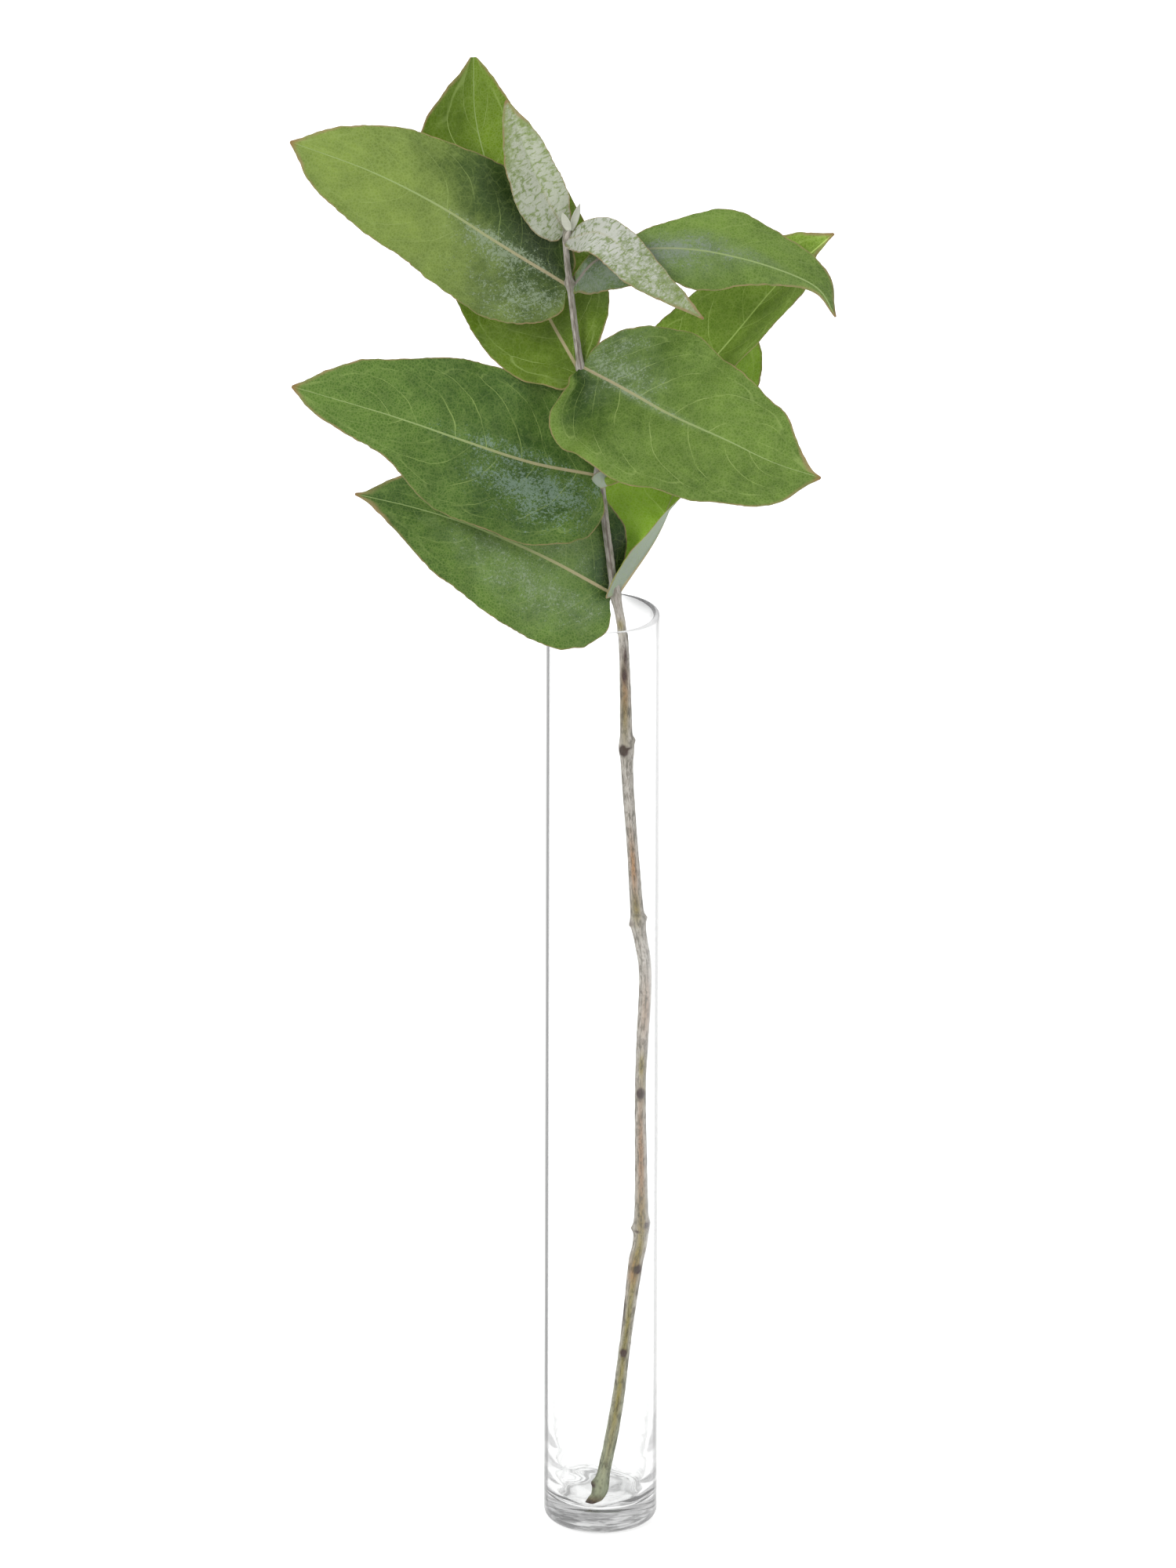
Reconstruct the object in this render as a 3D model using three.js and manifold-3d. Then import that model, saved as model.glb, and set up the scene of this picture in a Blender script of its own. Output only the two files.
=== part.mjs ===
import * as THREE from 'three';
import { mergeVertices } from 'three/addons/utils/BufferGeometryUtils.js';
import Module from 'manifold-3d';

// A eucalyptus shoot with five pairs of leaves, standing in a tall glass tube vase.
// Millimetres, +Z up. The origin is the centre of the vase's flat foot. +X is to the right of
// a viewer who looks along +Y, so a leaf that leans towards that viewer has smaller y values.

const wasm = await Module();
wasm.setup();

// Vase: straight tube with a thick floor that rises into the wall on a wide fillet
const VASE_HEIGHT = 430;
const VASE_RADIUS = 25;
const WALL = 2.8;
const FLOOR = 9.6;
const FOOT_RADIUS = 20.5;
const FOOT_CORNER = 4.5;
const VASE_SIDES = 48;
// Inside of the thick lower end: radius and height of each point, from the wall down to the floor
const WELL = [[22.2, 62], [21.5, 44], [20.4, 29], [19.5, 18.5], [18.6, 13], [17, 10.8], [14, 9.9]];

// Stem: x, y, z of its axis and its radius, from the cut foot up to the tip
const STEM_ROUTE = [
  [-3.1, -14.6, 12.3, 2.5], [0.2, -14, 20.3, 2.5], [6.6, -12, 54.4, 2.4], [11, -10, 91.2, 2.15],
  [14.7, -8.5, 123.6, 2.7], [17, -8, 142.2, 2.5], [16.8, -5, 201.6, 2.1], [17.6, -3.5, 227.1, 2.3],
  [18.9, -3, 260.6, 2.5], [15.6, -4, 285.2, 2.6], [13, -7.5, 322, 2.15], [10.8, -12, 353.6, 2.2],
  [10.1, -14.5, 373.2, 2.4], [9.3, -17, 407.6, 2], [8.1, -18.4, 430.5, 1.8], [5.3, -17.5, 446, 1.8],
  [1.5, -16, 473.9, 1.55], [-1.6, -14.5, 500.3, 1.5], [-5.8, -13, 524.5, 1.4], [-10, -11, 549.5, 1.4],
  [-12.8, -10, 569.4, 1.3], [-14.9, -8.5, 587.6, 1.3], [-16.4, -8, 599.9, 1.2],
  [-16.6, -7, 608.8, 1.15], [-15, -6.5, 613.6, 0.9],
];
const STEM_RINGS = 72;
const STEM_SIDES = 8;
// The young stem is four-cornered: share of the radius that the corners stand out by
const CORNERS = 0.09;
const CUT_SLOPE = 0.55;
// Swollen joints of the stem: height of each, how far it stands out and its reach up and down
const STEM_JOINTS = [
  [20.5, 0.5, 4], [142, 0.4, 4], [285, 0.5, 4], [372, 0.6, 4], [446, 0.5, 4], [500, 0.45, 4],
  [549, 0.45, 4], [588, 0.4, 3], [609, 0.4, 3],
];
// Leaf scars, spurs and small knobs on the stem: place, and half sizes along x, y and z
const KNOBS = [
  [[-2.4, -14.6, 21.5], [2.2, 1.5, 1.3]], [[9.4, -11.6, 83.5], [1.4, 1.4, 1.5]],
  [[15.2, -10.6, 121.5], [1.6, 1.2, 1.5]], [[14.2, -8, 141], [1.5, 1.5, 1.4]],
  [[18.4, -7.4, 143.6], [1.6, 1.5, 1.5]], [[16.8, -6.8, 204.5], [1.7, 1.2, 1.5]],
  [[18.4, -5, 252.5], [1.2, 1.1, 1.2]], [[17.8, -4.2, 287.4], [1.7, 1.7, 1.4]],
  [[12.8, -5, 284.2], [1.4, 1.4, 1.2]], [[8.6, -16.4, 370.8], [1.5, 1.3, 1.6]],
  [[12.6, -14.4, 376], [1.4, 1.4, 1.6]],
];

// Leaf blades
const BLADE = 0.7;
const KEEL = 1.1;
const GAP = 0.35;
const LEAF_ROWS = 19;
const HALF_COLUMNS = 3;
// Where along the leaf, as a share of its length, the half widths below are given
const STATIONS = [0, 0.04, 0.1, 0.2, 0.35, 0.5, 0.65, 0.8, 0.9, 0.96];
const TIP_HALF_WIDTH = 0.5;
// The margin's waves grow with the square of the distance from the rib, up to this distance
const WAVE_REACH = 25;

// rib: points of the midrib from the stem to the tip. faces: directions that the upper side looks
// to, spread evenly from base to tip. left and right: half widths at the stations, as seen from
// above with the tip pointing away. lobes: how far each basal lobe reaches back past the stem.
// fold: degrees that each half rises above flat, at the base, the middle and the tip.
// wave: height and length of the margin's waves, and where they start on each side.
const LEAVES = [
  {
    name: 'leaf_5_back', colour: 0x9fb09a,
    rib: [[-17.8, -5, 612.2], [-26.6, -8, 631], [-35, -10.5, 653.3], [-43.1, -10, 675]],
    faces: [[0.35, -0.85, 0.3], [0.35, -0.85, 0.3]],
    left: [8, 9.7, 12.3, 14, 15.3, 13.8, 12, 8.3, 5.3, 2.8],
    right: [4.5, 5.5, 7, 9.5, 10, 9.5, 8.5, 6, 3, 1.2],
    lobes: [2, 0.5], fold: [[10, 10, 10], [5, 20, 25]], wave: [0.8, 22, 0, 2],
  },
  {
    name: 'leaf_5_front', colour: 0xa6b5a4,
    rib: [[-14.7, -8.8, 609.5], [-3.3, -18, 616], [6.5, -26.5, 613.5], [17.6, -36, 604.5],
      [29.3, -45, 597], [43.4, -53, 589.5]],
    faces: [[-0.2, -0.5, 0.85], [-0.1, -0.4, 0.9], [0.3, -0.5, 0.8]],
    left: [5, 7, 8, 8.7, 9, 8.5, 7.5, 6, 3.5, 1.5],
    right: [5, 7.5, 10.5, 12.5, 12, 11.5, 9, 5, 2.5, 1.2],
    lobes: [1, 2], fold: [[5, 5, 5], [5, 5, 5]], wave: [0.7, 24, 1, 3],
  },
  {
    name: 'leaf_4_left', colour: 0x5f7f45,
    rib: [[-17.7, -8, 588.4], [-45.5, -12, 608], [-72.7, -14, 627.1], [-102.2, -10, 641.3],
      [-137.6, -2, 652.1]],
    faces: [[0, -0.85, 0.5], [0, -0.85, 0.5]],
    left: [19, 23.5, 28, 32, 31.6, 29.2, 26.8, 21, 14, 5.5],
    right: [10, 16, 25, 31, 30.5, 27.5, 24.6, 17.9, 11, 4.5],
    lobes: [5, 1], fold: [[8, 8, 8], [8, 8, 8]], wave: [1.4, 34, 0, 2.5],
  },
  {
    name: 'leaf_4_right', colour: 0x5d7d46,
    rib: [[-12.2, -8.4, 588.5], [-2, -11, 600.9], [19.7, -13, 606.4], [45.2, -16, 606.5],
      [71.8, -19, 601], [92.8, -21, 592], [101.4, -20, 577.7]],
    faces: [[-0.5, -0.5, 0.7], [0, -0.45, 0.9], [0.1, -0.45, 0.85], [0.8, -0.5, 0.5]],
    left: [4, 4.5, 5, 6, 15, 24.5, 21.5, 15.5, 9.5, 4],
    right: [6, 13, 18, 19.5, 19.7, 18.5, 11, 6, 2.5, 1.2],
    lobes: [0.5, 3], fold: [[5, 5, 0], [5, 0, 0, -35, -80, -80]], wave: [1.2, 36, 1, 0],
  },
  {
    name: 'leaf_3_back', colour: 0x5f8a2f,
    rib: [[-11.9, -9.2, 549.6], [-27.5, 4, 574.5], [-39.8, 14, 601.2], [-50, 23, 626.5],
      [-56.6, 32, 651], [-57.6, 40, 675.9]],
    faces: [[0.1, -0.95, 0.2], [0.1, -0.95, 0.2]],
    left: [17, 24, 28.5, 32.7, 33.8, 33, 31.5, 26, 14.5, 6],
    right: [8, 16, 25, 31, 32, 30.3, 27.3, 20, 12.5, 6.5],
    lobes: [6, 1], fold: [[8, 8, 8], [8, 8, 8]], wave: [1.2, 30, 0.5, 2],
  },
  {
    name: 'leaf_3_front', colour: 0x56783f,
    rib: [[-8, -12.8, 550], [8.5, -28, 546.7], [30.5, -44, 540.1], [53.2, -57, 534.3],
      [74.1, -66, 527.2], [95, -72, 522.3]],
    faces: [[0.2, -0.8, 0.55], [0.2, -0.8, 0.55]],
    left: [13, 19.5, 26, 33.8, 35.5, 32.3, 27, 21, 9.5, 2.5],
    right: [12, 28, 36.5, 40.5, 40.5, 37.5, 32.5, 25.5, 16, 6],
    lobes: [2, 3], fold: [[20, 9, 8], [8, 8, 8]], wave: [1.4, 32, 0, 1.5],
  },
  {
    name: 'leaf_2_left', colour: 0x4f7241,
    rib: [[-4.3, -14.9, 500.8], [-30.9, -20, 508.3], [-61.8, -22, 519.7], [-92.8, -18, 529.5],
      [-136.8, -8, 539.4]],
    faces: [[0, -0.8, 0.6], [0, -0.8, 0.6]],
    left: [29, 32.5, 35.5, 37.5, 37, 32, 19.5, 14, 9.5, 4.5],
    right: [11, 22, 33, 38.5, 35.5, 35.3, 27.5, 21, 12, 5],
    lobes: [6, 0.5], fold: [[8, 8, 8], [8, 8, 8]], wave: [1.5, 38, 0.5, 0],
  },
  {
    name: 'leaf_2_right', colour: 0x557a33,
    rib: [[0.9, -13, 501.5], [25.8, 5, 521.1], [51.5, 20, 545.6], [76.9, 33, 572.8],
      [100.9, 42, 592.6]],
    faces: [[-0.2, -0.8, 0.5], [-0.2, -0.8, 0.5]],
    left: [8, 16, 25, 31.5, 31, 28, 24.5, 18, 13, 5.5],
    right: [18, 23, 27, 28, 24, 18.5, 18.5, 17, 5, 1.5],
    lobes: [0.5, 6], fold: [[8, 8, 8], [45, 45, 30]], wave: [1.4, 34, 0, 1],
  },
  {
    name: 'leaf_1_left', colour: 0x51753f,
    rib: [[2.1, -17.1, 446.8], [-25.6, -24, 465.5], [-56.6, -27, 481], [-82.4, -25, 489],
      [-108.9, -18, 492.8]],
    faces: [[0, -0.85, 0.45], [0, -0.85, 0.45]],
    left: [27, 30, 34, 35.5, 35.3, 30.5, 25.5, 14, 6, 2],
    right: [14, 24, 31, 35.5, 36, 33, 26, 16.5, 8.5, 2.5],
    lobes: [7, 1], fold: [[8, 8, 8], [8, 8, 8]], wave: [1.3, 33, 0, 1],
  },
  {
    name: 'leaf_1_right', colour: 0x5a7f35,
    rib: [[7.4, -15.2, 447.2], [23.2, 0, 466.4], [32.5, 13, 484.4], [43.5, 25.5, 508.8],
      [53.3, 36, 533.6], [60.1, 44, 555.8]],
    faces: [[-0.4, -0.85, 0.2], [-0.4, -0.85, 0.2]],
    left: [8, 13, 19, 26, 29.5, 28, 23, 16.5, 9.5, 4.5],
    right: [12, 18, 25, 29, 29, 28, 26, 22, 16, 8],
    lobes: [0.5, 2], fold: [[5, 8, 8], [108, 87, 54, 31, 18, 12]], wave: [1.3, 33, 0, 1],
  },
];

// The two unopened leaflets round the tip bud: base, tip, half width and the way they face
const TIP_LEAFLETS = [
  [[-14.6, -7.2, 613], [-10.6, -8, 626], 2, [0.4, -0.8, -0.3]],
  [[-15.4, -7.4, 613], [-18.3, -10.6, 622.6], 2, [-0.3, -0.8, 0.2]],
];
const LEAFLET_HALF_THICKNESS = 0.5;

const STEM_COLOUR = 0x9c9484;
const GLASS_COLOUR = 0xeef4f3;

// Curves

function vectors(points) {
  return points.map((point) => new THREE.Vector3(point[0], point[1], point[2] ?? 0));
}

function smoothCurve(points) {
  return new THREE.CatmullRomCurve3(vectors(points), false, 'catmullrom', 0.5);
}

// The value, between values spread evenly over 0 to 1, at the share t
function blend(values, t) {
  const place = THREE.MathUtils.clamp(t, 0, 1) * (values.length - 1);
  const index = Math.min(Math.floor(place), values.length - 2);
  return THREE.MathUtils.lerp(values[index], values[index + 1], place - index);
}

// Stem axis, sampled once, for the stem itself and for the leaves that clasp it
const stemCurve = smoothCurve(STEM_ROUTE);
const stemRadii = smoothCurve(STEM_ROUTE.map((point) => [point[3], 0, 0]));
const stemSamples = Array.from({ length: STEM_RINGS + 1 }, (_, i) => {
  const t = i / STEM_RINGS;
  const centre = stemCurve.getPoint(t);
  return { t, centre, radius: stemRadii.getPoint(t).x + jointSwelling(centre.z) };
});

function jointSwelling(height) {
  return STEM_JOINTS.reduce((sum, [middle, rise, reach]) => (
    sum + rise * Math.exp(-(((height - middle) / reach) ** 2))), 0);
}

// Move a point of a blade out to where the blade just clears the stem
function clearOfStem(point) {
  let nearest = null;
  let best = Infinity;
  const segment = new THREE.Line3();
  const foot = new THREE.Vector3();
  for (let i = 0; i < stemSamples.length - 1; i += 1) {
    segment.set(stemSamples[i].centre, stemSamples[i + 1].centre);
    segment.closestPointToPoint(point, true, foot);
    const room = foot.distanceTo(point) - stemSamples[i].radius;
    if (room < best) {
      best = room;
      nearest = { foot: foot.clone(), radius: stemSamples[i].radius };
    }
  }
  const reach = nearest.radius * (1 + CORNERS) + GAP + BLADE / 2;
  if (nearest.foot.distanceTo(point) < reach) {
    point.sub(nearest.foot).setLength(reach).add(nearest.foot);
  }
  return point;
}

// Solids

function solidOf(geometry) {
  const bare = geometry.clone();
  bare.deleteAttribute('normal');
  bare.deleteAttribute('uv');
  const merged = mergeVertices(bare, 1e-4);
  return new wasm.Manifold(new wasm.Mesh({
    numProp: 3,
    vertProperties: new Float32Array(merged.attributes.position.array),
    triVerts: new Uint32Array(merged.index.array),
  }));
}

function geometryOf(solid) {
  const mesh = solid.getMesh();
  const geometry = new THREE.BufferGeometry();
  geometry.setAttribute('position', new THREE.BufferAttribute(mesh.vertProperties, 3));
  geometry.setIndex(new THREE.BufferAttribute(mesh.triVerts, 1));
  return geometry;
}

function indexedGeometry(points, triangles) {
  const geometry = new THREE.BufferGeometry();
  geometry.setAttribute('position', new THREE.Float32BufferAttribute(
    points.flatMap((point) => [point.x, point.y, point.z]), 3));
  geometry.setIndex(triangles.flat());
  return geometry;
}

function vaseGeometry() {
  const profile = [[0, 0], [FOOT_RADIUS, 0]];
  for (const turn of [30, 60, 90]) {
    const angle = THREE.MathUtils.degToRad(turn);
    profile.push([FOOT_RADIUS + FOOT_CORNER * Math.sin(angle), FOOT_CORNER * (1 - Math.cos(angle))]);
  }
  const lip = WALL / 2;
  for (const turn of [0, 45, 90, 135, 180]) {
    const angle = THREE.MathUtils.degToRad(turn);
    profile.push([
      VASE_RADIUS - lip + lip * Math.cos(angle),
      VASE_HEIGHT - lip + lip * Math.sin(angle),
    ]);
  }
  profile.push(...WELL, [0, FLOOR]);
  const points = profile.map(([radius, height]) => new THREE.Vector2(radius, height));
  return new THREE.LatheGeometry(points, VASE_SIDES).rotateX(Math.PI / 2);
}

// One ring of the stem, square to its axis; the lowest ring follows the slanting cut
function stemRing(sample, isFoot, extra) {
  const along = stemCurve.getTangent(sample.t);
  const side = new THREE.Vector3(1, 0, 0).addScaledVector(along, -along.x).normalize();
  const front = new THREE.Vector3().crossVectors(along, side);
  return Array.from({ length: STEM_SIDES }, (_, i) => {
    const angle = (2 * Math.PI * i) / STEM_SIDES;
    const radius = extra + sample.radius * (1 + CORNERS * Math.cos(4 * angle));
    const point = sample.centre.clone()
      .addScaledVector(side, radius * Math.cos(angle))
      .addScaledVector(front, radius * Math.sin(angle));
    if (isFoot) {
      point.addScaledVector(along, CUT_SLOPE * radius * Math.cos(angle));
    }
    return point;
  });
}

function stemShaft(extra = 0) {
  const rings = stemSamples.map((sample, i) => stemRing(sample, i === 0, extra));
  const points = rings.flat();
  const triangles = [];
  for (let ring = 0; ring < rings.length - 1; ring += 1) {
    for (let i = 0; i < STEM_SIDES; i += 1) {
      const next = (i + 1) % STEM_SIDES;
      const low = ring * STEM_SIDES;
      const high = low + STEM_SIDES;
      triangles.push([low + i, low + next, high + next], [low + i, high + next, high + i]);
    }
  }
  const last = (rings.length - 1) * STEM_SIDES;
  for (let i = 1; i < STEM_SIDES - 1; i += 1) {
    triangles.push([0, i + 1, i], [last, last + i, last + i + 1]);
  }
  return indexedGeometry(points, triangles);
}

function knob([place, halfSizes]) {
  return new THREE.SphereGeometry(1, 7, 5).scale(...halfSizes).translate(...place);
}

// A tiny folded leaflet of the tip bud: a flat spindle with three corners each side
function tipLeaflet([base, tip, halfWidth, face]) {
  const start = new THREE.Vector3(...base);
  const end = new THREE.Vector3(...tip);
  const along = end.clone().sub(start).normalize();
  const look = new THREE.Vector3(...face).normalize();
  const across = new THREE.Vector3().crossVectors(along, look).normalize();
  const up = new THREE.Vector3().crossVectors(along, across);
  const shape = [[0, 0.5], [0.35, 1], [0.7, 0.7]];
  const points = [];
  for (const [share, width] of shape) {
    const centre = start.clone().lerp(end, share);
    for (const [sideways, upward] of [[1, 0], [0, 1], [-1, 0], [0, -1]]) {
      points.push(centre.clone()
        .addScaledVector(across, sideways * width * halfWidth)
        .addScaledVector(up, upward * LEAFLET_HALF_THICKNESS));
    }
  }
  const triangles = [[0, 2, 1], [0, 3, 2]];
  for (let ring = 0; ring < shape.length - 1; ring += 1) {
    for (let i = 0; i < 4; i += 1) {
      const next = (i + 1) % 4;
      const low = ring * 4;
      triangles.push([low + i, low + next, low + 4 + next], [low + i, low + 4 + next, low + 4 + i]);
    }
  }
  const apex = points.push(end) - 1;
  const top = (shape.length - 1) * 4;
  for (let i = 0; i < 4; i += 1) {
    triangles.push([top + i, top + ((i + 1) % 4), apex]);
  }
  return indexedGeometry(points, triangles);
}

function stemGeometry() {
  let solid = solidOf(stemShaft());
  for (const piece of [...KNOBS.map(knob), ...TIP_LEAFLETS.map(tipLeaflet)]) {
    solid = solid.add(solidOf(piece));
  }
  return geometryOf(solid);
}

// Leaves

// Margin of one half, from the inner edge of its basal lobe to the tip: distance along the rib
// and distance from it
function margin(halfWidths, lobe, length) {
  const lobePoints = [[-0.8 * lobe, 0.32 * halfWidths[0]], [-lobe, 0.62 * halfWidths[0]]];
  const sidePoints = STATIONS.map((share, i) => [share * length, halfWidths[i]]);
  return smoothCurve([...lobePoints, ...sidePoints, [length, TIP_HALF_WIDTH]]);
}

// Place on the bent blade of the point that lies `along` the rib and `out` from it when flat
function bladePoint(leaf, ribCurve, length, along, out) {
  const share = along / length;
  const t = THREE.MathUtils.clamp(share, 0, 1);
  const tangent = ribCurve.getTangentAt(t);
  const centre = ribCurve.getPointAt(t);
  if (share < 0) {
    centre.addScaledVector(tangent, along);
  }
  const face = new THREE.Vector3(...[0, 1, 2].map((axis) => blend(leaf.faces.map((f) => f[axis]), t)));
  const normal = face.addScaledVector(tangent, -face.dot(tangent)).normalize();
  const across = new THREE.Vector3().crossVectors(tangent, normal);
  const half = out < 0 ? 0 : 1;
  const reach = Math.abs(out);
  const rise = THREE.MathUtils.degToRad(blend(leaf.fold[half], t));
  const [height, wavelength, ...starts] = leaf.wave;
  const wave = height * (reach / WAVE_REACH) ** 2
    * Math.sin((2 * Math.PI * along) / wavelength + starts[half]);
  return centre
    .addScaledVector(across, Math.sign(out) * reach * Math.cos(rise))
    .addScaledVector(normal, reach * Math.sin(rise) + wave);
}

// The blade's middle surface as rows of points from the left margin over the rib to the right
function bladeRows(leaf) {
  const ribCurve = smoothCurve(leaf.rib);
  const length = ribCurve.getLength();
  const margins = [margin(leaf.left, leaf.lobes[0], length), margin(leaf.right, leaf.lobes[1], length)];
  return Array.from({ length: LEAF_ROWS }, (_, row) => {
    const t = row / (LEAF_ROWS - 1);
    const ribAlong = length * t ** 1.5;
    const columns = [];
    for (let column = -HALF_COLUMNS; column <= HALF_COLUMNS; column += 1) {
      const edge = margins[column < 0 ? 0 : 1].getPoint(t);
      const share = Math.abs(column) / HALF_COLUMNS;
      const along = THREE.MathUtils.lerp(ribAlong, edge.x, share ** 2);
      const out = Math.sign(column) * share * edge.y;
      columns.push(clearOfStem(bladePoint(leaf, ribCurve, length, along, out)));
    }
    return columns;
  });
}

function rowNormals(rows) {
  return rows.map((row, j) => row.map((_, i) => {
    const nextRow = rows[Math.min(j + 1, rows.length - 1)][i];
    const lastRow = rows[Math.max(j - 1, 0)][i];
    const right = row[Math.min(i + 1, row.length - 1)];
    const left = row[Math.max(i - 1, 0)];
    const forward = nextRow.clone().sub(lastRow);
    const across = right.clone().sub(left);
    return across.cross(forward).normalize();
  }));
}

// A blade of even thickness with a keel under its rib, split into triangles alike on both faces
function leafGeometry(leaf) {
  const rows = bladeRows(leaf);
  const normals = rowNormals(rows);
  const width = rows[0].length;
  const points = [];
  for (const side of [1, -1]) {
    rows.forEach((row, j) => row.forEach((point, i) => {
      const onRib = side < 0 && i === HALF_COLUMNS;
      const keel = onRib ? KEEL * (1 - j / (rows.length - 1)) : 0;
      points.push(point.clone().addScaledVector(normals[j][i], side * (BLADE / 2 + keel)));
    }));
  }
  const under = rows.length * width;
  const triangles = [];
  for (let j = 0; j < rows.length - 1; j += 1) {
    for (let i = 0; i < width - 1; i += 1) {
      const a = j * width + i;
      const b = a + 1;
      const c = a + width;
      const d = c + 1;
      const leftHalf = i < HALF_COLUMNS;
      const top = leftHalf ? [[a, b, c], [b, d, c]] : [[a, b, d], [a, d, c]];
      for (const [p, q, r] of top) {
        triangles.push([p, q, r], [under + p, under + r, under + q]);
      }
    }
  }
  const rim = rimOf(rows.length, width);
  rim.forEach((here, k) => {
    const next = rim[(k + 1) % rim.length];
    triangles.push([here, under + here, next], [next, under + here, under + next]);
  });
  return indexedGeometry(points, triangles);
}

// Indices round the edge of the blade's upper face, in the order that turns the walls outwards
function rimOf(rowCount, width) {
  const first = Array.from({ length: width }, (_, i) => i);
  const right = Array.from({ length: rowCount - 1 }, (_, j) => (j + 1) * width + width - 1);
  const last = Array.from({ length: width - 1 }, (_, i) => (rowCount - 1) * width + width - 2 - i);
  const left = Array.from({ length: rowCount - 2 }, (_, j) => (rowCount - 2 - j) * width);
  return [...first, ...right, ...last, ...left];
}

// Cut a blade free of the stem, with a small gap all round, and keep its one large piece
function freeOfStem(geometry) {
  const pieces = solidOf(geometry).subtract(solidOf(stemShaft(GAP))).decompose();
  pieces.sort((one, other) => other.volume() - one.volume());
  return geometryOf(pieces[0]);
}

// The assembly

function named(name, geometry, material) {
  const mesh = new THREE.Mesh(geometry, material);
  mesh.name = name;
  return mesh;
}

const glass = new THREE.MeshStandardMaterial({
  color: GLASS_COLOUR, roughness: 0.03, metalness: 0, transparent: true, opacity: 0.35,
});
const bark = new THREE.MeshStandardMaterial({ color: STEM_COLOUR, roughness: 0.75, metalness: 0 });

const model = new THREE.Group();
model.add(named('vase', vaseGeometry(), glass));
const branch = new THREE.Group();
branch.add(named('stem', stemGeometry(), bark));
for (const leaf of LEAVES) {
  const green = new THREE.MeshStandardMaterial({ color: leaf.colour, roughness: 0.6, metalness: 0 });
  branch.add(named(leaf.name, freeOfStem(leafGeometry(leaf)), green));
}
model.add(branch);

export default model;
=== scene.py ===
"""Looks of a eucalyptus shoot in a clear tube vase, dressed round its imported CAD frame.

Lengths are millimetres until a mesh or the camera is made, where they turn into metres. Lamps
are placed in metres. +X is to the right of a viewer who looks along +Y, and +Z is up.
"""
import functools
import math

import bmesh
import bpy
import numpy as np
from mathutils import Matrix, Vector, noise


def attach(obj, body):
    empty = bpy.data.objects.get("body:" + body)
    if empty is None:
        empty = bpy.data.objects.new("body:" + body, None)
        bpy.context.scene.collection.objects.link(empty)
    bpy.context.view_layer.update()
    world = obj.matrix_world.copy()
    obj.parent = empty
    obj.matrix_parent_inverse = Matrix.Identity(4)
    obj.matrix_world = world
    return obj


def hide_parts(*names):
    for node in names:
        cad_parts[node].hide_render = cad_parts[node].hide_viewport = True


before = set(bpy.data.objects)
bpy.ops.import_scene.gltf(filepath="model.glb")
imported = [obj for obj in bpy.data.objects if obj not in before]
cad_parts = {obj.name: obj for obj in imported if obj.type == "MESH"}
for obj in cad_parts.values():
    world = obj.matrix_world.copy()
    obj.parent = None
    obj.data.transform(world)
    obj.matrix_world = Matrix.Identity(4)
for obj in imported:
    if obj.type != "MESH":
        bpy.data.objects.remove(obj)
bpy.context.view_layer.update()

MM = 0.001
BODY = "root"

# Vase, as in the part's source, with the thick lower end of the inside as radius and height
VASE_HEIGHT = 430
VASE_RADIUS = 25
WALL = 2.8
FLOOR = 9.6
FOOT_RADIUS = 20.5
FOOT_CORNER = 4.5
WELL = [[22.2, 62], [21.5, 44], [20.4, 29], [19.5, 18.5], [18.6, 13], [17, 10.8], [14, 9.9]]
WELL_TOP = 66
VASE_SIDES = 160
# Radius of the first and the last ring of the glass, which are joined into points on the axis
AXIS_GAP = 0.01
# Ripples of the blown glass: their size, how far they move the inside, how much more near the
# foot, how far they move the outside there, and how far up that reaches
RIPPLE_SIZE = 13
RIPPLE_INSIDE = 0.05
RIPPLE_FOOT = 0.7
RIPPLE_OUTSIDE = 0.2
RIPPLE_REACH = 30

GLASS_INDEX = 1.5
# Colours of the clear wall, and of the painted shade along its grazing edges and in the streaked
# thick foot
WALL_CLEAR = (0.990, 0.995, 0.993)
PAINTED_DARK_EDGE = (0.0, 0.0, 0.0)
PAINTED_FOOT_SHADE = (0.22, 0.22, 0.22)
# Streaks of the foot's painted shade: their size in metres, how flat they lie, and how grey the
# gaps stay
STREAK_SIZE = 0.012
STREAK_FLATNESS = 5.0
STREAK_GAP = 0.30
# How much of clean glass's white gloss is left
GLOSS_TINT = (0.25, 0.25, 0.25)
# Share of light that gets past the wall, and past the thick foot, to the things behind
WALL_SHADOW = (0.98, 0.98, 0.98)
FOOT_SHADOW = (0.75, 0.75, 0.75)
# A ray that has met more surfaces than this goes straight on, dimmed
TRAPPED_DEPTH = 3.5
TRAPPED_TINT = (0.62, 0.62, 0.62)

# Stem: x, y, z of its axis and its radius, from the cut foot up to the tip
STEM_ROUTE = [
    [-3.1, -14.6, 12.3, 2.5], [0.2, -14, 20.3, 2.5], [6.6, -12, 54.4, 2.4], [11, -10, 91.2, 2.15],
    [14.7, -8.5, 123.6, 2.7], [17, -8, 142.2, 2.5], [16.8, -5, 201.6, 2.1],
    [17.6, -3.5, 227.1, 2.3], [18.9, -3, 260.6, 2.5], [15.6, -4, 285.2, 2.6], [13, -7.5, 322, 2.15],
    [10.8, -12, 353.6, 2.2], [10.1, -14.5, 373.2, 2.4], [9.3, -17, 407.6, 2],
    [8.1, -18.4, 430.5, 1.8], [5.3, -17.5, 446, 1.8], [1.5, -16, 473.9, 1.55],
    [-1.6, -14.5, 500.3, 1.5], [-5.8, -13, 524.5, 1.4], [-10, -11, 549.5, 1.4],
    [-12.8, -10, 569.4, 1.3], [-14.9, -8.5, 587.6, 1.3], [-16.4, -8, 599.9, 1.2],
    [-16.6, -7, 608.8, 1.15], [-15, -6.5, 613.6, 0.9],
]
STEM_RINGS = 720
STEM_SIDES = 32
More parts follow.
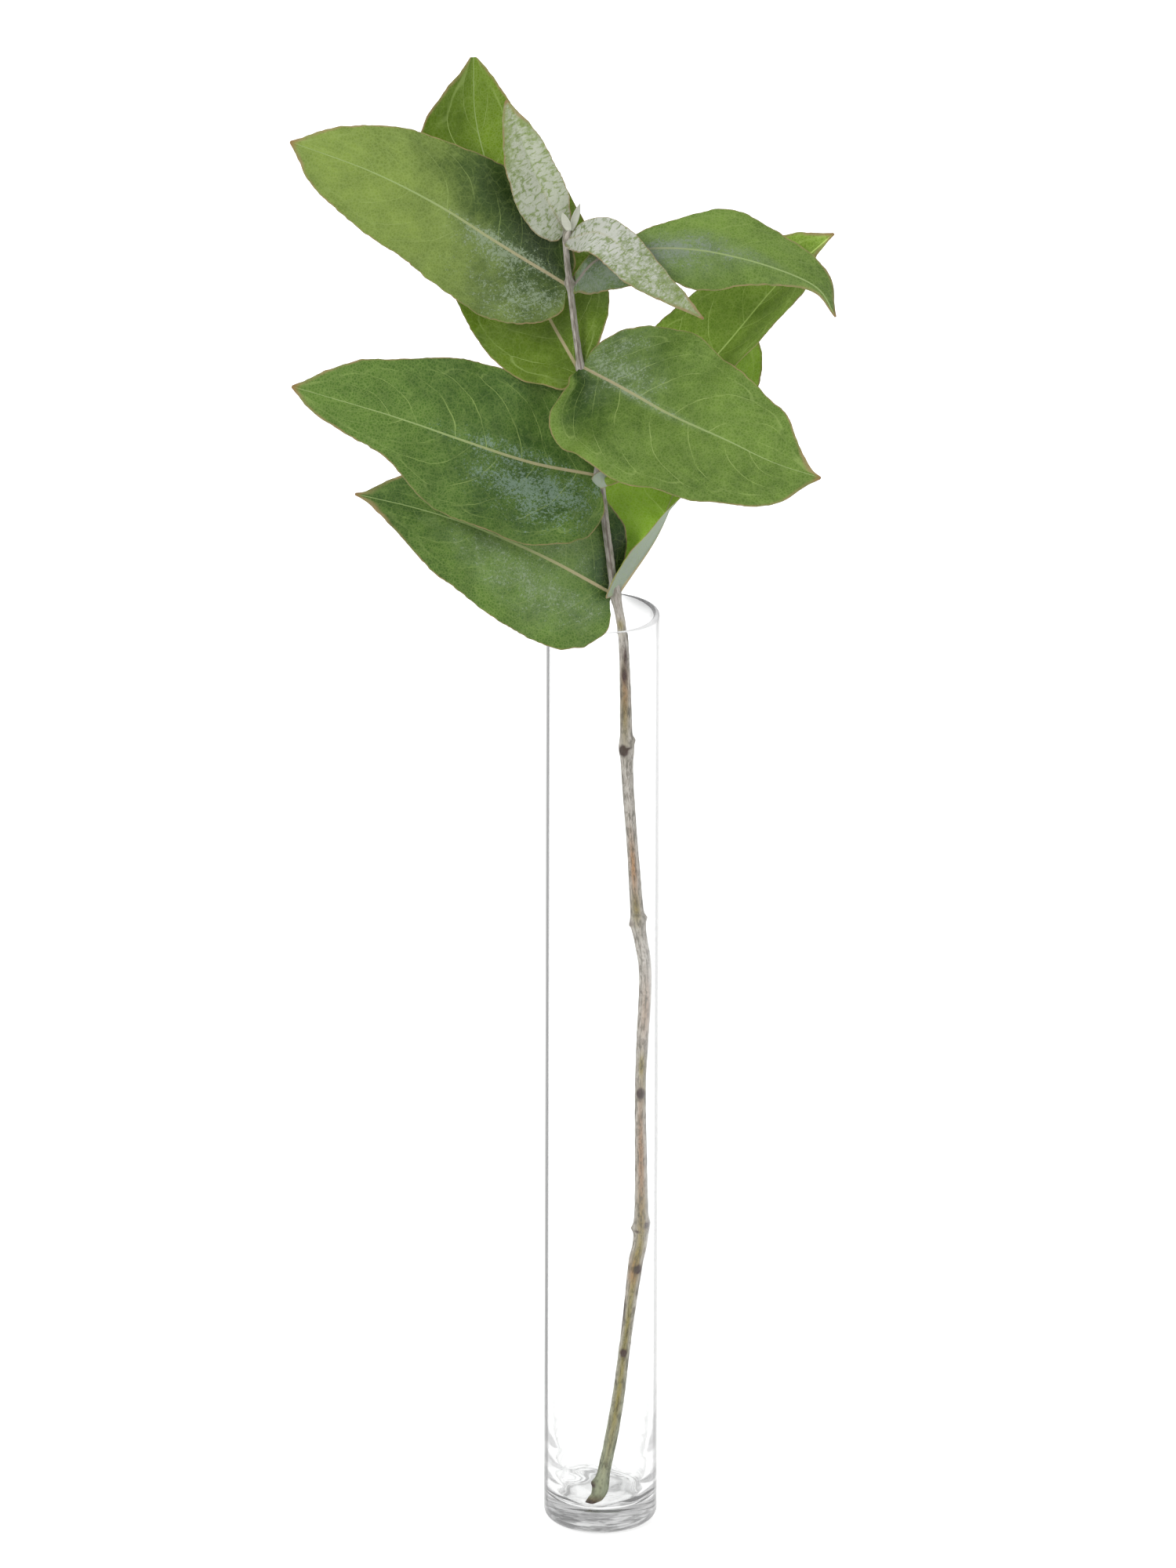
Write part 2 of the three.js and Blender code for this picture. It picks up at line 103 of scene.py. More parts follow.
# How far the bark's four corners stand out, as a share of its radius, the height of its fine
# ridges, the slope of the cut foot and the rings over which the slope fades
CORNERS = 0.09
RIDGES = 0.05
CUT_SLOPE = 0.55
CUT_RINGS = 12
# The blunt point over the last ring
TIP_POINT = [0.3, 0, 0.5]
# The viewer's side of the stem in degrees, and the radius at which the bark is unrolled
FRONT = 270
UNROLLED_RADIUS = 2.2
# Swollen joints of the stem: height, how far each stands out and its reach up and down
STEM_JOINTS = [
    [20.5, 0.5, 4], [142, 0.4, 4], [285, 0.5, 4], [372, 0.6, 4], [446, 0.5, 4], [500, 0.45, 4],
    [549, 0.45, 4], [588, 0.4, 3], [609, 0.4, 3],
]
# Leaf scars, spurs and knobs: place, and half sizes along x, y and z
KNOBS = [
    [[-2.4, -14.6, 21.5], [2.2, 1.5, 1.3]], [[9.4, -11.6, 83.5], [1.4, 1.4, 1.5]],
    [[15.2, -10.6, 121.5], [1.6, 1.2, 1.5]], [[14.2, -8, 141], [1.5, 1.5, 1.4]],
    [[18.4, -7.4, 143.6], [1.6, 1.5, 1.5]], [[16.8, -6.8, 204.5], [1.7, 1.2, 1.5]],
    [[18.4, -5, 252.5], [1.2, 1.1, 1.2]], [[17.8, -4.2, 287.4], [1.7, 1.7, 1.4]],
    [[12.8, -5, 284.2], [1.4, 1.4, 1.2]], [[8.6, -16.4, 370.8], [1.5, 1.3, 1.6]],
    [[12.6, -14.4, 376], [1.4, 1.4, 1.6]],
]
# The two unopened leaflets round the tip bud: base, tip, half width and the way they face
TIP_LEAFLETS = [
    [[-14.6, -7.2, 613], [-10.6, -8, 626], 2, [0.4, -0.8, -0.3]],
    [[-15.4, -7.4, 613], [-18.3, -10.6, 622.6], 2, [-0.3, -0.8, 0.2]],
]
LEAFLET_GRID = (22, 14)

# Bark
BARK_PALE = (0.455, 0.425, 0.385)
BARK_GREY = (0.295, 0.272, 0.235)
BARK_OLD = (0.100, 0.095, 0.060)
BARK_DEEP = (0.040, 0.034, 0.016)
FRESH_GREEN = (0.200, 0.250, 0.135)
STAIN_COLOURS = {
    "olive": (0.225, 0.190, 0.052), "rust": (0.310, 0.172, 0.075), "dark": (0.048, 0.022, 0.018),
}
# Streaks and scars: height, turn round the stem in degrees (270 is towards the viewer, 0 to the
# right), reach up and down, reach round in degrees, strength
STAINS = {"olive": [
    [432, 260, 3, 60, 0.8], [392, 255, 17, 45, 1.0], [293, 262, 8, 45, 1.0],
    [218, 270, 5, 35, 1.1], [208, 300, 10, 60, 0.5], [150, 275, 12, 45, 0.9],
    [128, 270, 14, 45, 1.0], [100, 265, 22, 40, 0.9], [60, 265, 28, 45, 1.0],
], "rust": [
    [402, 262, 12, 45, 0.8], [314, 262, 15, 38, 1.1], [244, 290, 14, 60, 0.6],
    [175, 270, 28, 38, 1.0], [121, 255, 6, 50, 0.9], [13, 270, 2.5, 120, 0.6],
], "dark": [
    [392, 250, 20, 40, 0.35], [293, 262, 8, 40, 0.2], [175, 262, 28, 26, 0.15],
    [417, 285, 5, 30, 1.1], [408, 262, 3, 40, 1.4], [371.5, 240, 1.7, 26, 8],
    [373, 285, 0.5, 40, 1.2], [252.5, 220, 0.5, 24, 1.2], [204.5, 267, 1.6, 32, 8],
    [143, 318, 1.3, 22, 3], [140, 232, 0.6, 26, 1.2], [122.5, 296, 1.3, 24, 8],
    [101, 195, 7, 12, 1.3], [83, 262, 1.2, 24, 8], [21, 190, 1.2, 30, 2], [470, 275, 26, 13, 0.9],
    [520, 275, 20, 13, 0.9], [560, 275, 22, 12, 0.9], [590, 262, 12, 14, 0.6],
    [540, 235, 10, 9, 0.8], [285, 200, 1.2, 40, 0.7], [12, 235, 2.2, 70, 2.0],
]}
STAIN_LIMIT = 1.15

# Leaf blades: thickness along the rib and at the margin, how far the rib stands out above and
# below, its half width, the gap between a clasping base and the bark, which is below zero as the
# base grows from it, and how far the base goes past the rib's start
BLADE_MIDDLE = 0.55
BLADE_EDGE = 0.32
RIB_RISE = 0.22
RIB_KEEL = 1.0
RIB_SPREAD = 0.8
CLEARANCE = -0.9
BASE_REACH = 2.0
LEAF_ROWS = 170
HALF_COLUMNS = 20
STATIONS = [0, 0.04, 0.1, 0.2, 0.35, 0.5, 0.65, 0.8, 0.9, 0.96]
TIP_HALF_WIDTH = 0.5
WAVE_REACH = 25
EVEN_FOLD = [[8, 8], [8, 8]]
# Side veins: spacing for the materials, and how far apart they leave the rib, as shares of its
# length; wisps of colour run slower out from the rib than along it
VEIN_SPACING = 11.0
VEIN_STEPS = (0.09, 0.15)
VEIN_COUNT = 16
WISP_SLOWNESS = 0.3

# Greens of a leaf's two ends of tone, dark and light, as linear colours
MID_GREEN = [(0.036, 0.072, 0.010), (0.240, 0.330, 0.062)]
FULL_GREEN = [(0.030, 0.074, 0.007), (0.190, 0.310, 0.046)]
DEEP_GREEN = [(0.020, 0.060, 0.007), (0.138, 0.255, 0.036)]
# The next three are the leaf's own yellow-green made brighter with painted light, standing in for
# light that shines through the blade from behind
GREEN_WITH_SOFT_PAINTED_GLOW = [(0.066, 0.120, 0.003), (0.200, 0.320, 0.016)]
GREEN_WITH_PAINTED_GLOW = [(0.110, 0.200, 0.008), (0.330, 0.520, 0.060)]
GREEN_WITH_STRONG_PAINTED_GLOW = [(0.150, 0.280, 0.008), (0.480, 0.760, 0.080)]
SILVER_GREEN = [(0.095, 0.150, 0.028), (0.230, 0.300, 0.085)]
# Painted shade: the near-black green of the darkest tone patches, where other leaves and the stem
# shade a blade
PAINTED_SHADE_GREEN = (0.010, 0.026, 0.003)
BLUE_WAX = (0.225, 0.315, 0.250)
PALE_WAX = (0.300, 0.370, 0.255)
DULL_WAX = (0.250, 0.295, 0.255)
SILVER_WAX = (0.500, 0.525, 0.440)
WHITE_WAX = (0.590, 0.600, 0.560)

# Colour of the side veins, and a brighter one with painted glow for leaves with light behind them
VEIN_LIGHT = (0.360, 0.470, 0.150)
VEIN_WITH_PAINTED_GLOW = (0.620, 0.800, 0.240)
RIB_PURPLE = (0.300, 0.255, 0.235)

# How strongly the nets, the side veins and the rib are painted
COARSE_NET = 0.10
SIDE_VEINS = 0.75
GREEN_RIB, YOUNG_RIB = 0.85, 0.25
RIB_BASE = (0.470, 0.400, 0.250)
RIB_TIP = (0.330, 0.430, 0.170)
MARGIN_BROWN = (0.330, 0.240, 0.120)
TIP_BROWN = (0.290, 0.170, 0.070)
UNDERSIDE = [(0.270, 0.335, 0.260), (0.420, 0.470, 0.395)]
LIGHT_THROUGH = (1.0, 1.0, 0.30)

# Noises of the leaves, each as its size, detail and roughness, and how far it sways the colour
# or the cover of wax
PATCHES = (12, 3, 0.6), 0.85
WISPS = (2.4, 5, 0.7), 0.45
SPECKLE = (0.8, 4, 0.8), 0.35
WAX_WISPS = (1.6, 5, 0.75), 1.6
WAX_FINE = (1.3, 5, 0.85), 4.6
WAX_BROAD = (8, 3, 0.6), 1.4
YOUNG_FINE = (1.1, 5, 0.8), 2.6
YOUNG_BROAD = (6, 3, 0.6), 1.8

# rib: points of the midrib from the stem to the tip. faces: directions that the upper side looks
# to, from base to tip. left and right: half widths at the stations, seen from above with the tip
# pointing away. lobes: reach of each basal lobe past the stem. fold: degrees that each half rises
# above flat, where it isn't the even fold. wave: height and length of the margin's waves, and
# their start on each side. tone and bloom: soft patches of lighter or darker green, and of white
# wax. The darker green is partly the leaf's own uneven colour and partly painted shade, where other
# leaves and the stem shade the blade. It turns near black as the tone falls from -0.8 to -2. Each
# patch has its share of the length, its place from -1 at the left margin to 1 at the right, its
# reach both ways in the same shares, and its strength. veins and haze: strength of the side veins
# and of the even wax. young: the silvery leaves. vein, rib_base, rib_tip and breadth: other colours
# and width of the veins and the rib. tip: half width there.
LEAVES = [
    dict(name="leaf_5_back", greens=SILVER_GREEN, wax=SILVER_WAX, veins=0.1, young=True,
         rib=[[-17.8, -5, 612.2], [-26.6, -8, 631], [-35, -10.5, 653.3], [-43.1, -10, 675]],
         faces=[[0.35, -0.85, 0.3]] * 2,
         left=[8, 9.7, 12.3, 14, 15.3, 13.8, 12, 8.3, 5.3, 2.8],
         right=[4.5, 5.5, 7, 9.5, 10, 9.5, 8.5, 6, 3, 1.2],
         lobes=[2, 0.5], fold=[[10, 10, 10], [5, 20, 25]], wave=[0.8, 22, 0, 2],
         tone=[[1, 0, 0.3, 2, 0.6], [0.5, 0.6, 0.3, 0.5, 0.4]],
         bloom=[[0.2, 0.1, 0.5, 1.6, 1.0], [0.8, 0.1, 0.3, 0.8, 0.35]]),
    dict(name="leaf_5_front", greens=SILVER_GREEN, wax=WHITE_WAX, veins=0.1, young=True,
         rib=[[-14.7, -8.8, 609.5], [-3.3, -18, 616], [6.5, -26.5, 613.5], [17.6, -36, 604.5],
              [29.3, -45, 597], [43.4, -53, 589.5]],
         faces=[[-0.2, -0.5, 0.85], [-0.1, -0.4, 0.9], [0.3, -0.5, 0.8]],
         left=[5, 7, 8, 8.7, 9, 8.5, 7.5, 6, 3.5, 1.5],
         right=[5, 7.5, 10.5, 12.5, 12, 11.5, 9, 5, 2.5, 1.2],
         lobes=[1, 2], fold=[[5, 5, 5], [5, 5, 5]], wave=[0.7, 24, 1, 3],
         tone=[[0.9, 0, 0.3, 2, 0.5]],
         bloom=[[0.05, 0, 0.42, 2, 1.1], [0.75, 0, 0.3, 1.2, 0.3]]),
    dict(name="leaf_4_left", greens=MID_GREEN, wax=PALE_WAX, veins=0.5, haze=0.14,
         rib=[[-17.7, -8, 588.4], [-45.5, -12, 608], [-72.7, -14, 627.1], [-102.2, -10, 641.3],
              [-137.6, -2, 652.1]],
         faces=[[0, -0.85, 0.5]] * 2,
         left=[19, 23.5, 28, 32, 31.6, 29.2, 26.8, 21, 14, 5.5],
         right=[10, 16, 25, 31, 30.5, 27.5, 24.6, 17.9, 11, 4.5],
         lobes=[5, 1], wave=[1.4, 34, 0, 2.5],
         tone=[[1, 0.2, 0.4, 1.2, 0.8], [0.5, -0.6, 0.35, 0.6, 0.4],
               # Painted shade: the two darkest patches of the right half, shaded by the leaves
               # above
               [0.3, 0.75, 0.22, 0.5, -1.6], [0.08, 0.35, 0.18, 0.5, -1.4],
               [0.12, -0.5, 0.2, 0.6, -0.75]],
         bloom=[[0.08, -0.6, 0.24, 0.5, 0.85], [0.3, -0.14, 0.18, 0.2, 0.6],
                [0.22, 0.02, 0.25, 0.10, 0.7], [0.12, 0.2, 0.14, 0.25, 0.5]]),
    dict(name="leaf_4_right", greens=FULL_GREEN, wax=DULL_WAX, veins=0.3, haze=0.5,
         rib_base=RIB_PURPLE, breadth=0.3,
         rib=[[-12.2, -8.4, 588.5], [-2, -11, 600.9], [19.7, -13, 606.4], [45.2, -16, 606.5],
              [71.8, -19, 601], [92.8, -21, 592], [101.4, -20, 577.7]],
         faces=[[-0.5, -0.5, 0.7], [0, -0.45, 0.9], [0.1, -0.45, 0.85], [0.8, -0.5, 0.5]],
         left=[4, 4.5, 5, 6, 15, 24.5, 21.5, 15.5, 9.5, 4],
         right=[6, 13, 18, 19.5, 19.7, 18.5, 11, 6, 2.5, 1.2],
         lobes=[0.5, 3], fold=[[5, 5, 0], [5, 0, 0, -35, -80, -80]],
         wave=[1.2, 36, 1, 0],
         tone=[[0.5, -0.6, 0.3, 0.5, 0.5], [0.1, 0.2, 0.2, 0.8, -0.5]],
         bloom=[[0.4, -0.1, 0.3, 0.3, 0.8], [0.08, 0.2, 0.22, 1.2, 1.3],
                [0.4, 0.4, 0.25, 0.4, 0.45]]),
    dict(name="leaf_3_back", greens=GREEN_WITH_SOFT_PAINTED_GLOW, wax=PALE_WAX, veins=1.1, haze=0.3,
         rib=[[-11.9, -9.2, 549.6], [-27.5, 4, 574.5], [-39.8, 14, 601.2], [-50, 23, 626.5],
              [-56.6, 32, 651], [-57.6, 40, 675.9]],
         faces=[[0.1, -0.95, 0.2]] * 2,
         left=[17, 24, 28.5, 32.7, 33.8, 33, 31.5, 25, 13, 5.5],
         right=[8, 16, 25, 31, 32, 30.3, 27.3, 20, 12.5, 6.5],
         tip=1.4, lobes=[6, 1], wave=[1.2, 30, 0.5, 2],
         tone=[[0.6, 0.5, 0.4, 0.5, 0.2], [0.85, -0.8, 0.3, 0.5, -0.6], [0.1, 0, 0.25, 2, -0.55]],
         bloom=[]),
    dict(name="leaf_3_front", greens=FULL_GREEN, wax=PALE_WAX, veins=0.9, haze=0.35,
         rib=[[-8, -12.8, 550], [8.5, -28, 546.7], [30.5, -44, 540.1], [53.2, -57, 534.3],
              [74.1, -66, 527.2], [95, -72, 522.3]],
         faces=[[0.2, -0.8, 0.55]] * 2,
         left=[13, 19.5, 26, 33.8, 35.5, 32.3, 27, 21, 9.5, 2.5],
         right=[12, 28, 36.5, 40.5, 40.5, 37.5, 32.5, 25.5, 16, 6],
         lobes=[2, 3], fold=[[20, 9, 8], [8, 8, 8]], wave=[1.4, 32, 0, 1.5],
         tone=[[0.7, -0.3, 0.25, 0.6, 0.3], [0.12, 0.95, 0.25, 0.12, 0.9],
               [0.1, -0.4, 0.2, 0.6, -0.5], [0.02, 0.55, 0.18, 0.35, -1.3]],
         bloom=[[0.05, -0.6, 0.16, 0.5, 0.8], [0.24, 0, 0.28, 0.07, 0.9],
                [0.06, 0.25, 0.12, 0.3, 0.5], [0.2, -0.25, 0.14, 0.2, 0.6]]),
    dict(name="leaf_2_left", greens=DEEP_GREEN, wax=BLUE_WAX, veins=0.8, haze=0.06,
         rib=[[-4.3, -14.9, 500.8], [-30.9, -20, 508.3], [-61.8, -22, 519.7],
              [-92.8, -18, 529.5], [-136.8, -8, 539.4]],
         faces=[[0, -0.8, 0.6]] * 2,
         left=[29, 32.5, 35.5, 37.5, 37, 32, 19.5, 14, 9.5, 4.5],
         right=[11, 22, 33, 38.5, 35.5, 35.3, 27.5, 21, 12, 5],
         lobes=[6, 0.5], wave=[1.5, 38, 0.5, 0],
         # Painted shade: the darker patches on the right half
         tone=[[1, 0, 0.35, 1.5, 0.4], [0.2, -0.4, 0.28, 0.6, -0.55], [0.1, 0.6, 0.4, 0.6, -0.3],
               [0.5, 0.6, 0.3, 0.5, -0.3]],
         bloom=[[0.06, -0.5, 0.2, 0.45, 0.75], [0.26, -0.32, 0.18, 0.34, 0.7],
                [0.42, 0.02, 0.18, 0.2, 0.4], [0.2, 0.1, 0.2, 0.1, 0.45]]),
    dict(name="leaf_2_right", greens=GREEN_WITH_PAINTED_GLOW, wax=PALE_WAX, veins=0.8, haze=0.3,
         vein=VEIN_WITH_PAINTED_GLOW, rib_tip=VEIN_WITH_PAINTED_GLOW, breadth=2.2,
         rib=[[0.9, -13, 501.5], [25.8, 5, 521.1], [51.5, 20, 545.6], [76.9, 33, 572.8],
              [100.9, 42, 592.6]],
         faces=[[-0.2, -0.8, 0.5]] * 2,
         left=[8, 16, 25, 31.5, 31, 28, 24.5, 18, 13, 5.5],
         right=[18, 23, 27, 28, 24, 18.5, 18.5, 17, 5, 1.5],
         lobes=[0.5, 6], fold=[[8, 8, 8], [45, 45, 30]], wave=[1.4, 34, 0, 1],
         tone=[[0.5, -0.5, 0.5, 0.5, -0.3], [0.6, 0.6, 0.5, 0.5, -0.4]],
         bloom=[]),
    dict(name="leaf_1_left", greens=DEEP_GREEN, wax=PALE_WAX, veins=0.5, haze=0.36,
         rib=[[2.1, -17.1, 446.8], [-25.6, -24, 465.5], [-56.6, -27, 481], [-82.4, -25, 489],
              [-108.9, -18, 492.8]],
         faces=[[0, -0.85, 0.45]] * 2,
         left=[27, 30, 34, 35.5, 35.3, 30.5, 25.5, 14, 6, 2],
         right=[14, 24, 31, 35.5, 36, 33, 26, 16.5, 8.5, 2.5],
         lobes=[7, 1], wave=[1.3, 33, 0, 1],
         tone=[[0.4, -0.5, 0.4, 0.5, 0.2], [0.95, 0, 0.3, 1.6, -0.6], [0.3, 0.5, 0.2, 0.5, 0.2],
               # Painted shade: the basal lobe behind the stem, deep in the shade of the leaves over
               # it
               [-0.05, 0.8, 0.12, 0.8, -4.5]],
         bloom=[[0.12, -0.5, 0.25, 0.3, 0.5], [0.45, -0.3, 0.3, 0.4, 0.6],
                [0.2, 0.3, 0.2, 0.3, 0.45]]),
    dict(name="leaf_1_right", greens=GREEN_WITH_STRONG_PAINTED_GLOW, wax=PALE_WAX, veins=0.9, haze=0.3,
         vein=VEIN_WITH_PAINTED_GLOW,
         rib=[[7.4, -15.2, 447.2], [23.2, 0, 466.4], [32.5, 13, 484.4], [43.5, 25.5, 508.8],
              [53.3, 36, 533.6], [60.1, 44, 555.8]],
         faces=[[-0.4, -0.85, 0.2]] * 2,
         left=[8, 13, 19, 26.5, 31, 30.5, 26, 18, 9.5, 4.5],
         right=[10, 12, 15, 19, 26, 28, 26, 22, 16, 8],
         lobes=[0.5, 8], fold=[[5, 8, 8], [100, 95, 80, 62, 50, 38, 30, 24, 18, 15, 12]],
         wave=[1.3, 33, 0, 1],
         tone=[[0.4, -0.5, 0.4, 0.6, 0.3]],
         bloom=[]),
]

# The lobe of one leaf that curls round the front of the stem, pale side out: its left and right
# ends, top and bottom heights, the stem's axis there and how far out it lies
CURL_LEAF = "leaf_2_right"
CURL_LEFT, CURL_RIGHT = -5.4, 4.8
CURL_TOP, CURL_BOTTOM = 504.6, 495.8
CURL_AXIS = (-1.0, -14.6)
CURL_RADIUS = 3.6
CURL_THICKNESS = 0.2

# Studio: the world's strength as a light, the floor, and each lamp's place, aim, width and watts
WHITE = (1, 1, 1, 1)
AMBIENT = 0.72
FLOOR_COLOUR = (0.93, 0.93, 0.93)
FLOOR_SIZE = 9000
FLOOR_DROP = -0.3
LAMPS = {
    "key": [(-1.6, -2.6, 2.6), (0, 0, 0.45), 1.4, 82],
    "fill": [(2.4, -2.0, 1.6), (0, 0, 0.45), 2.0, 20],
    "back": [(0.4, 2.4, 2.2), (0, 0, 0.5), 2.0, 60],
}

# Camera: a long lens, 22 degrees above the horizon, aimed at the vase's axis. The image is taken
# as 1500 by 2000 pixels.
CAMERA_ELEVATION = math.radians(22)
CAMERA_DISTANCE = 20000
CAMERA_ROLL = math.radians(0.17)
CAMERA_TARGET = (-6.4, 0, 348.7)
MM_PER_PIXEL = 0.345
IMAGE_HEIGHT = 2000
SENSOR = 36


# Curves

def unit(vectors):
    """Each vector of the array, one long."""
    return vectors / np.linalg.norm(vectors, axis=-1, keepdims=True)


def spline(points, t):
    """Places on a smooth curve through all the points, at shares t of its parameter."""
    points = np.asarray(points, float)
    last = len(points) - 1
    padded = np.vstack([2 * points[0] - points[1], points, 2 * points[-1] - points[-2]])
    place = np.clip(np.asarray(t, float), 0, 1) * last
    index = np.minimum(place.astype(int), last - 1)
    f = (place - index)[..., None]
    a, b, c, d = (padded[index + k] for k in range(4))
    return 0.5 * (2 * b + (c - a) * f + (2 * a - 5 * b + 4 * c - d) * f ** 2
                  + (3 * b - a - 3 * c + d) * f ** 3)


def blend(values, t):
    """The value at share t among values spread evenly from 0 to 1."""
    values = np.asarray(values, float)
    place = np.clip(t, 0, 1) * (len(values) - 1)
    index = np.minimum(place.astype(int), len(values) - 2)
    f = place - index
    if values.ndim == 2:
        f = f[..., None]
    return values[index] + (values[index + 1] - values[index]) * f


def around(sides):
    """Angles evenly round a circle."""
    return np.linspace(0, 2 * np.pi, sides, endpoint=False)


class Rib:
    """A midrib, walked by its length."""

    def __init__(self, points):
        self.points = points
        self.shares = np.linspace(0, 1, 401)
        steps = np.diff(spline(points, self.shares), axis=0)
        self.lengths = np.concatenate([[0], np.cumsum(np.linalg.norm(steps, axis=1))])
        self.length = self.lengths[-1]

    def parameter(self, share):
        return np.interp(np.clip(share, 0, 1) * self.length, self.lengths, self.shares)

    def at(self, share):
        return spline(self.points, self.parameter(share))

    def tangent(self, share):
        t = self.parameter(share)
        low, high = np.clip(t - 1e-3, 0, 1), np.clip(t + 1e-3, 0, 1)
        return unit(spline(self.points, high) - spline(self.points, low))


def grain(points, size, seed=0):
    """Smooth noise from -1 to 1 at each point of the array, with lumps of that size."""
    flat = np.asarray(points, float).reshape(-1, 3) / size + 17.3 * seed
    values = [noise.noise(Vector(point)) for point in flat]
    return np.array(values).reshape(np.asarray(points).shape[:-1])


# Meshes

def make_mesh(name, vertices, faces, materials, face_slots=None):
    """A smooth-shaded mesh object in metres, from vertices in millimetres."""
    mesh = bpy.data.meshes.new(name)
    mesh.from_pydata((np.asarray(vertices) * MM).tolist(), [], faces)
    for material in materials:
        mesh.materials.append(material)
    if face_slots is not None:
        mesh.polygons.foreach_set("material_index", np.asarray(face_slots, np.int32))
    mesh.polygons.foreach_set("use_smooth", np.ones(len(mesh.polygons), bool))
    mesh.update()
    return link(bpy.data.objects.new(name, mesh))


def link(thing):
    bpy.context.scene.collection.objects.link(thing)
    return thing


def add_uv(mesh, name, first, second):
    """A UV map of two numbers per face corner, which materials read as lengths or shares."""
    layer = mesh.uv_layers.new(name=name)
    layer.data.foreach_set("uv", np.stack([first, second], 1).astype(np.float32).ravel())


def add_number(mesh, name, values):
    """One number per vertex, for the materials."""
    attribute = mesh.attributes.new(name, "FLOAT", "POINT")
    attribute.data.foreach_set("value", np.asarray(values, np.float32))


def grid_faces(rows, columns):
    """Quads of a grid of vertices stored row by row."""
    a = np.arange(rows * columns).reshape(rows, columns)[:-1, :-1].ravel()
    return np.stack([a, a + 1, a + columns + 1, a + columns], 1)


def tube_faces(rings, sides):
    """Quads of a tube of vertices stored ring by ring."""
    faces = grid_faces(rings, sides + 1)
    return faces // (sides + 1) * sides + faces % (sides + 1) % sides


def dress(piece, node):
    """Put a finished piece on the body in place of its CAD node."""
    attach(piece, BODY)
    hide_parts(node)


# Shader nodes

class Shader:
    """A short way to write one material's nodes. Values are sockets or plain numbers."""

    def __init__(self, owner, output="OutputMaterial"):
        owner.use_nodes = True
        self.owner = owner
        self.tree = owner.node_tree
        self.tree.nodes.clear()
        self.output = self.tree.nodes.new("ShaderNode" + output)

    def node(self, kind, inputs=(), **settings):
        """Outputs of a new node, whose inputs are given in order or by name."""
        node = self.tree.nodes.new("ShaderNode" + kind)
        for name, value in settings.items():
            setattr(node, name, value)
        for socket, value in inputs.items() if isinstance(inputs, dict) else enumerate(inputs):
            self.put(node.inputs[socket], value)
        return node.outputs

    def put(self, target, value):
        if isinstance(value, bpy.types.NodeSocket):
            self.tree.links.new(value, target)
        elif target.type == "RGBA" and len(value) == 3:
            target.default_value = (*value, 1)
        else:
            target.default_value = value

    def math(self, operation, a, b=0.0):
        return self.node("Math", (a, b), operation=operation)[0]

    def times(self, *factors):
        return functools.reduce(functools.partial(self.math, "MULTIPLY"), factors)

    def plus(self, *terms):
        return functools.reduce(functools.partial(self.math, "ADD"), terms)

    def minus(self, a, b):
        return self.math("SUBTRACT", a, b)

    def step(self, value, low, high, start=0.0, end=1.0):
        """A smooth change from start at low to end at high."""
        return self.node("MapRange", (value, low, high, start, end),
                         interpolation_type="SMOOTHSTEP")[0]

    def near(self, distance, full, gone):
        """1 up to the full distance, and 0 from where it is gone."""
        return self.step(distance, full, gone, 1, 0)

    def mix(self, amount, a, b, blend_type="MIX"):
        return self.node("Mix", {0: amount, 6: a, 7: b}, data_type="RGBA", blend_type=blend_type)[2]

    def coats(self, colour, *coats):
        """The colour under coats, each a colour and the factors of its strength."""
        for coat, *factors in coats:
            colour = self.mix(self.times(*factors), colour, coat)
        return colour

    def number(self, name):
        return self.node("Attribute", attribute_name=name)["Fac"]

    def uv(self, name):
        return self.node("UVMap", uv_map=name)[0]

    def split(self, vector):
        return self.node("SeparateXYZ", [vector])

    def stretch(self, vector, y=1.0, z=1.0):
        return self.node("Mapping", {"Vector": vector, "Scale": (1, y, z)}, vector_type="POINT")[0]

    def noise(self, vector, size, detail, roughness=0.5):
        return self.node("TexNoise", {"Vector": vector, "Scale": 1 / size, "Detail": detail,
                                      "Roughness": roughness})["Fac"]

    def sway(self, vector, pattern, amount):
        """Noise centred on zero and scaled."""
        return self.times(self.minus(self.noise(vector, *pattern), 0.5), amount)

    def cell_edges(self, vector, size):
        """Distance to the nearest border between random cells of that size."""
        cells = self.node("TexVoronoi", {"Vector": vector, "Scale": 1 / size},
                          feature="DISTANCE_TO_EDGE")
        return self.times(cells["Distance"], size)

    def warp(self, vector, size, amount):
        """The vector moved about a little by noise, so that patterns aren't straight."""
        blur = self.node("TexNoise", {"Vector": vector, "Scale": 1 / size})["Color"]
        centred = self.node("VectorMath", (blur, (0.5, 0.5, 0.5)), operation="SUBTRACT")[0]
        scaled = self.node("VectorMath", {0: centred, "Scale": amount}, operation="SCALE")[0]
        return self.node("VectorMath", (vector, scaled), operation="ADD")[0]

    def bump(self, *heights):
        """Relief from heights in millimetres, added up."""
        return self.node("Bump", {"Height": self.plus(*heights), "Distance": MM})[0]

    def principled(self, **sockets):
        return self.node("BsdfPrincipled", {name.replace("_", " "): value
                                            for name, value in sockets.items()})[0]

    def mix_shader(self, amount, a, b):
        return self.node("MixShader", (amount, a, b))[0]

    def finish(self, surface):
        self.put(self.output.inputs["Surface"], surface)
        return self.owner


def new_shader(name):
    return Shader(bpy.data.materials.new(name))


# Leaf materials

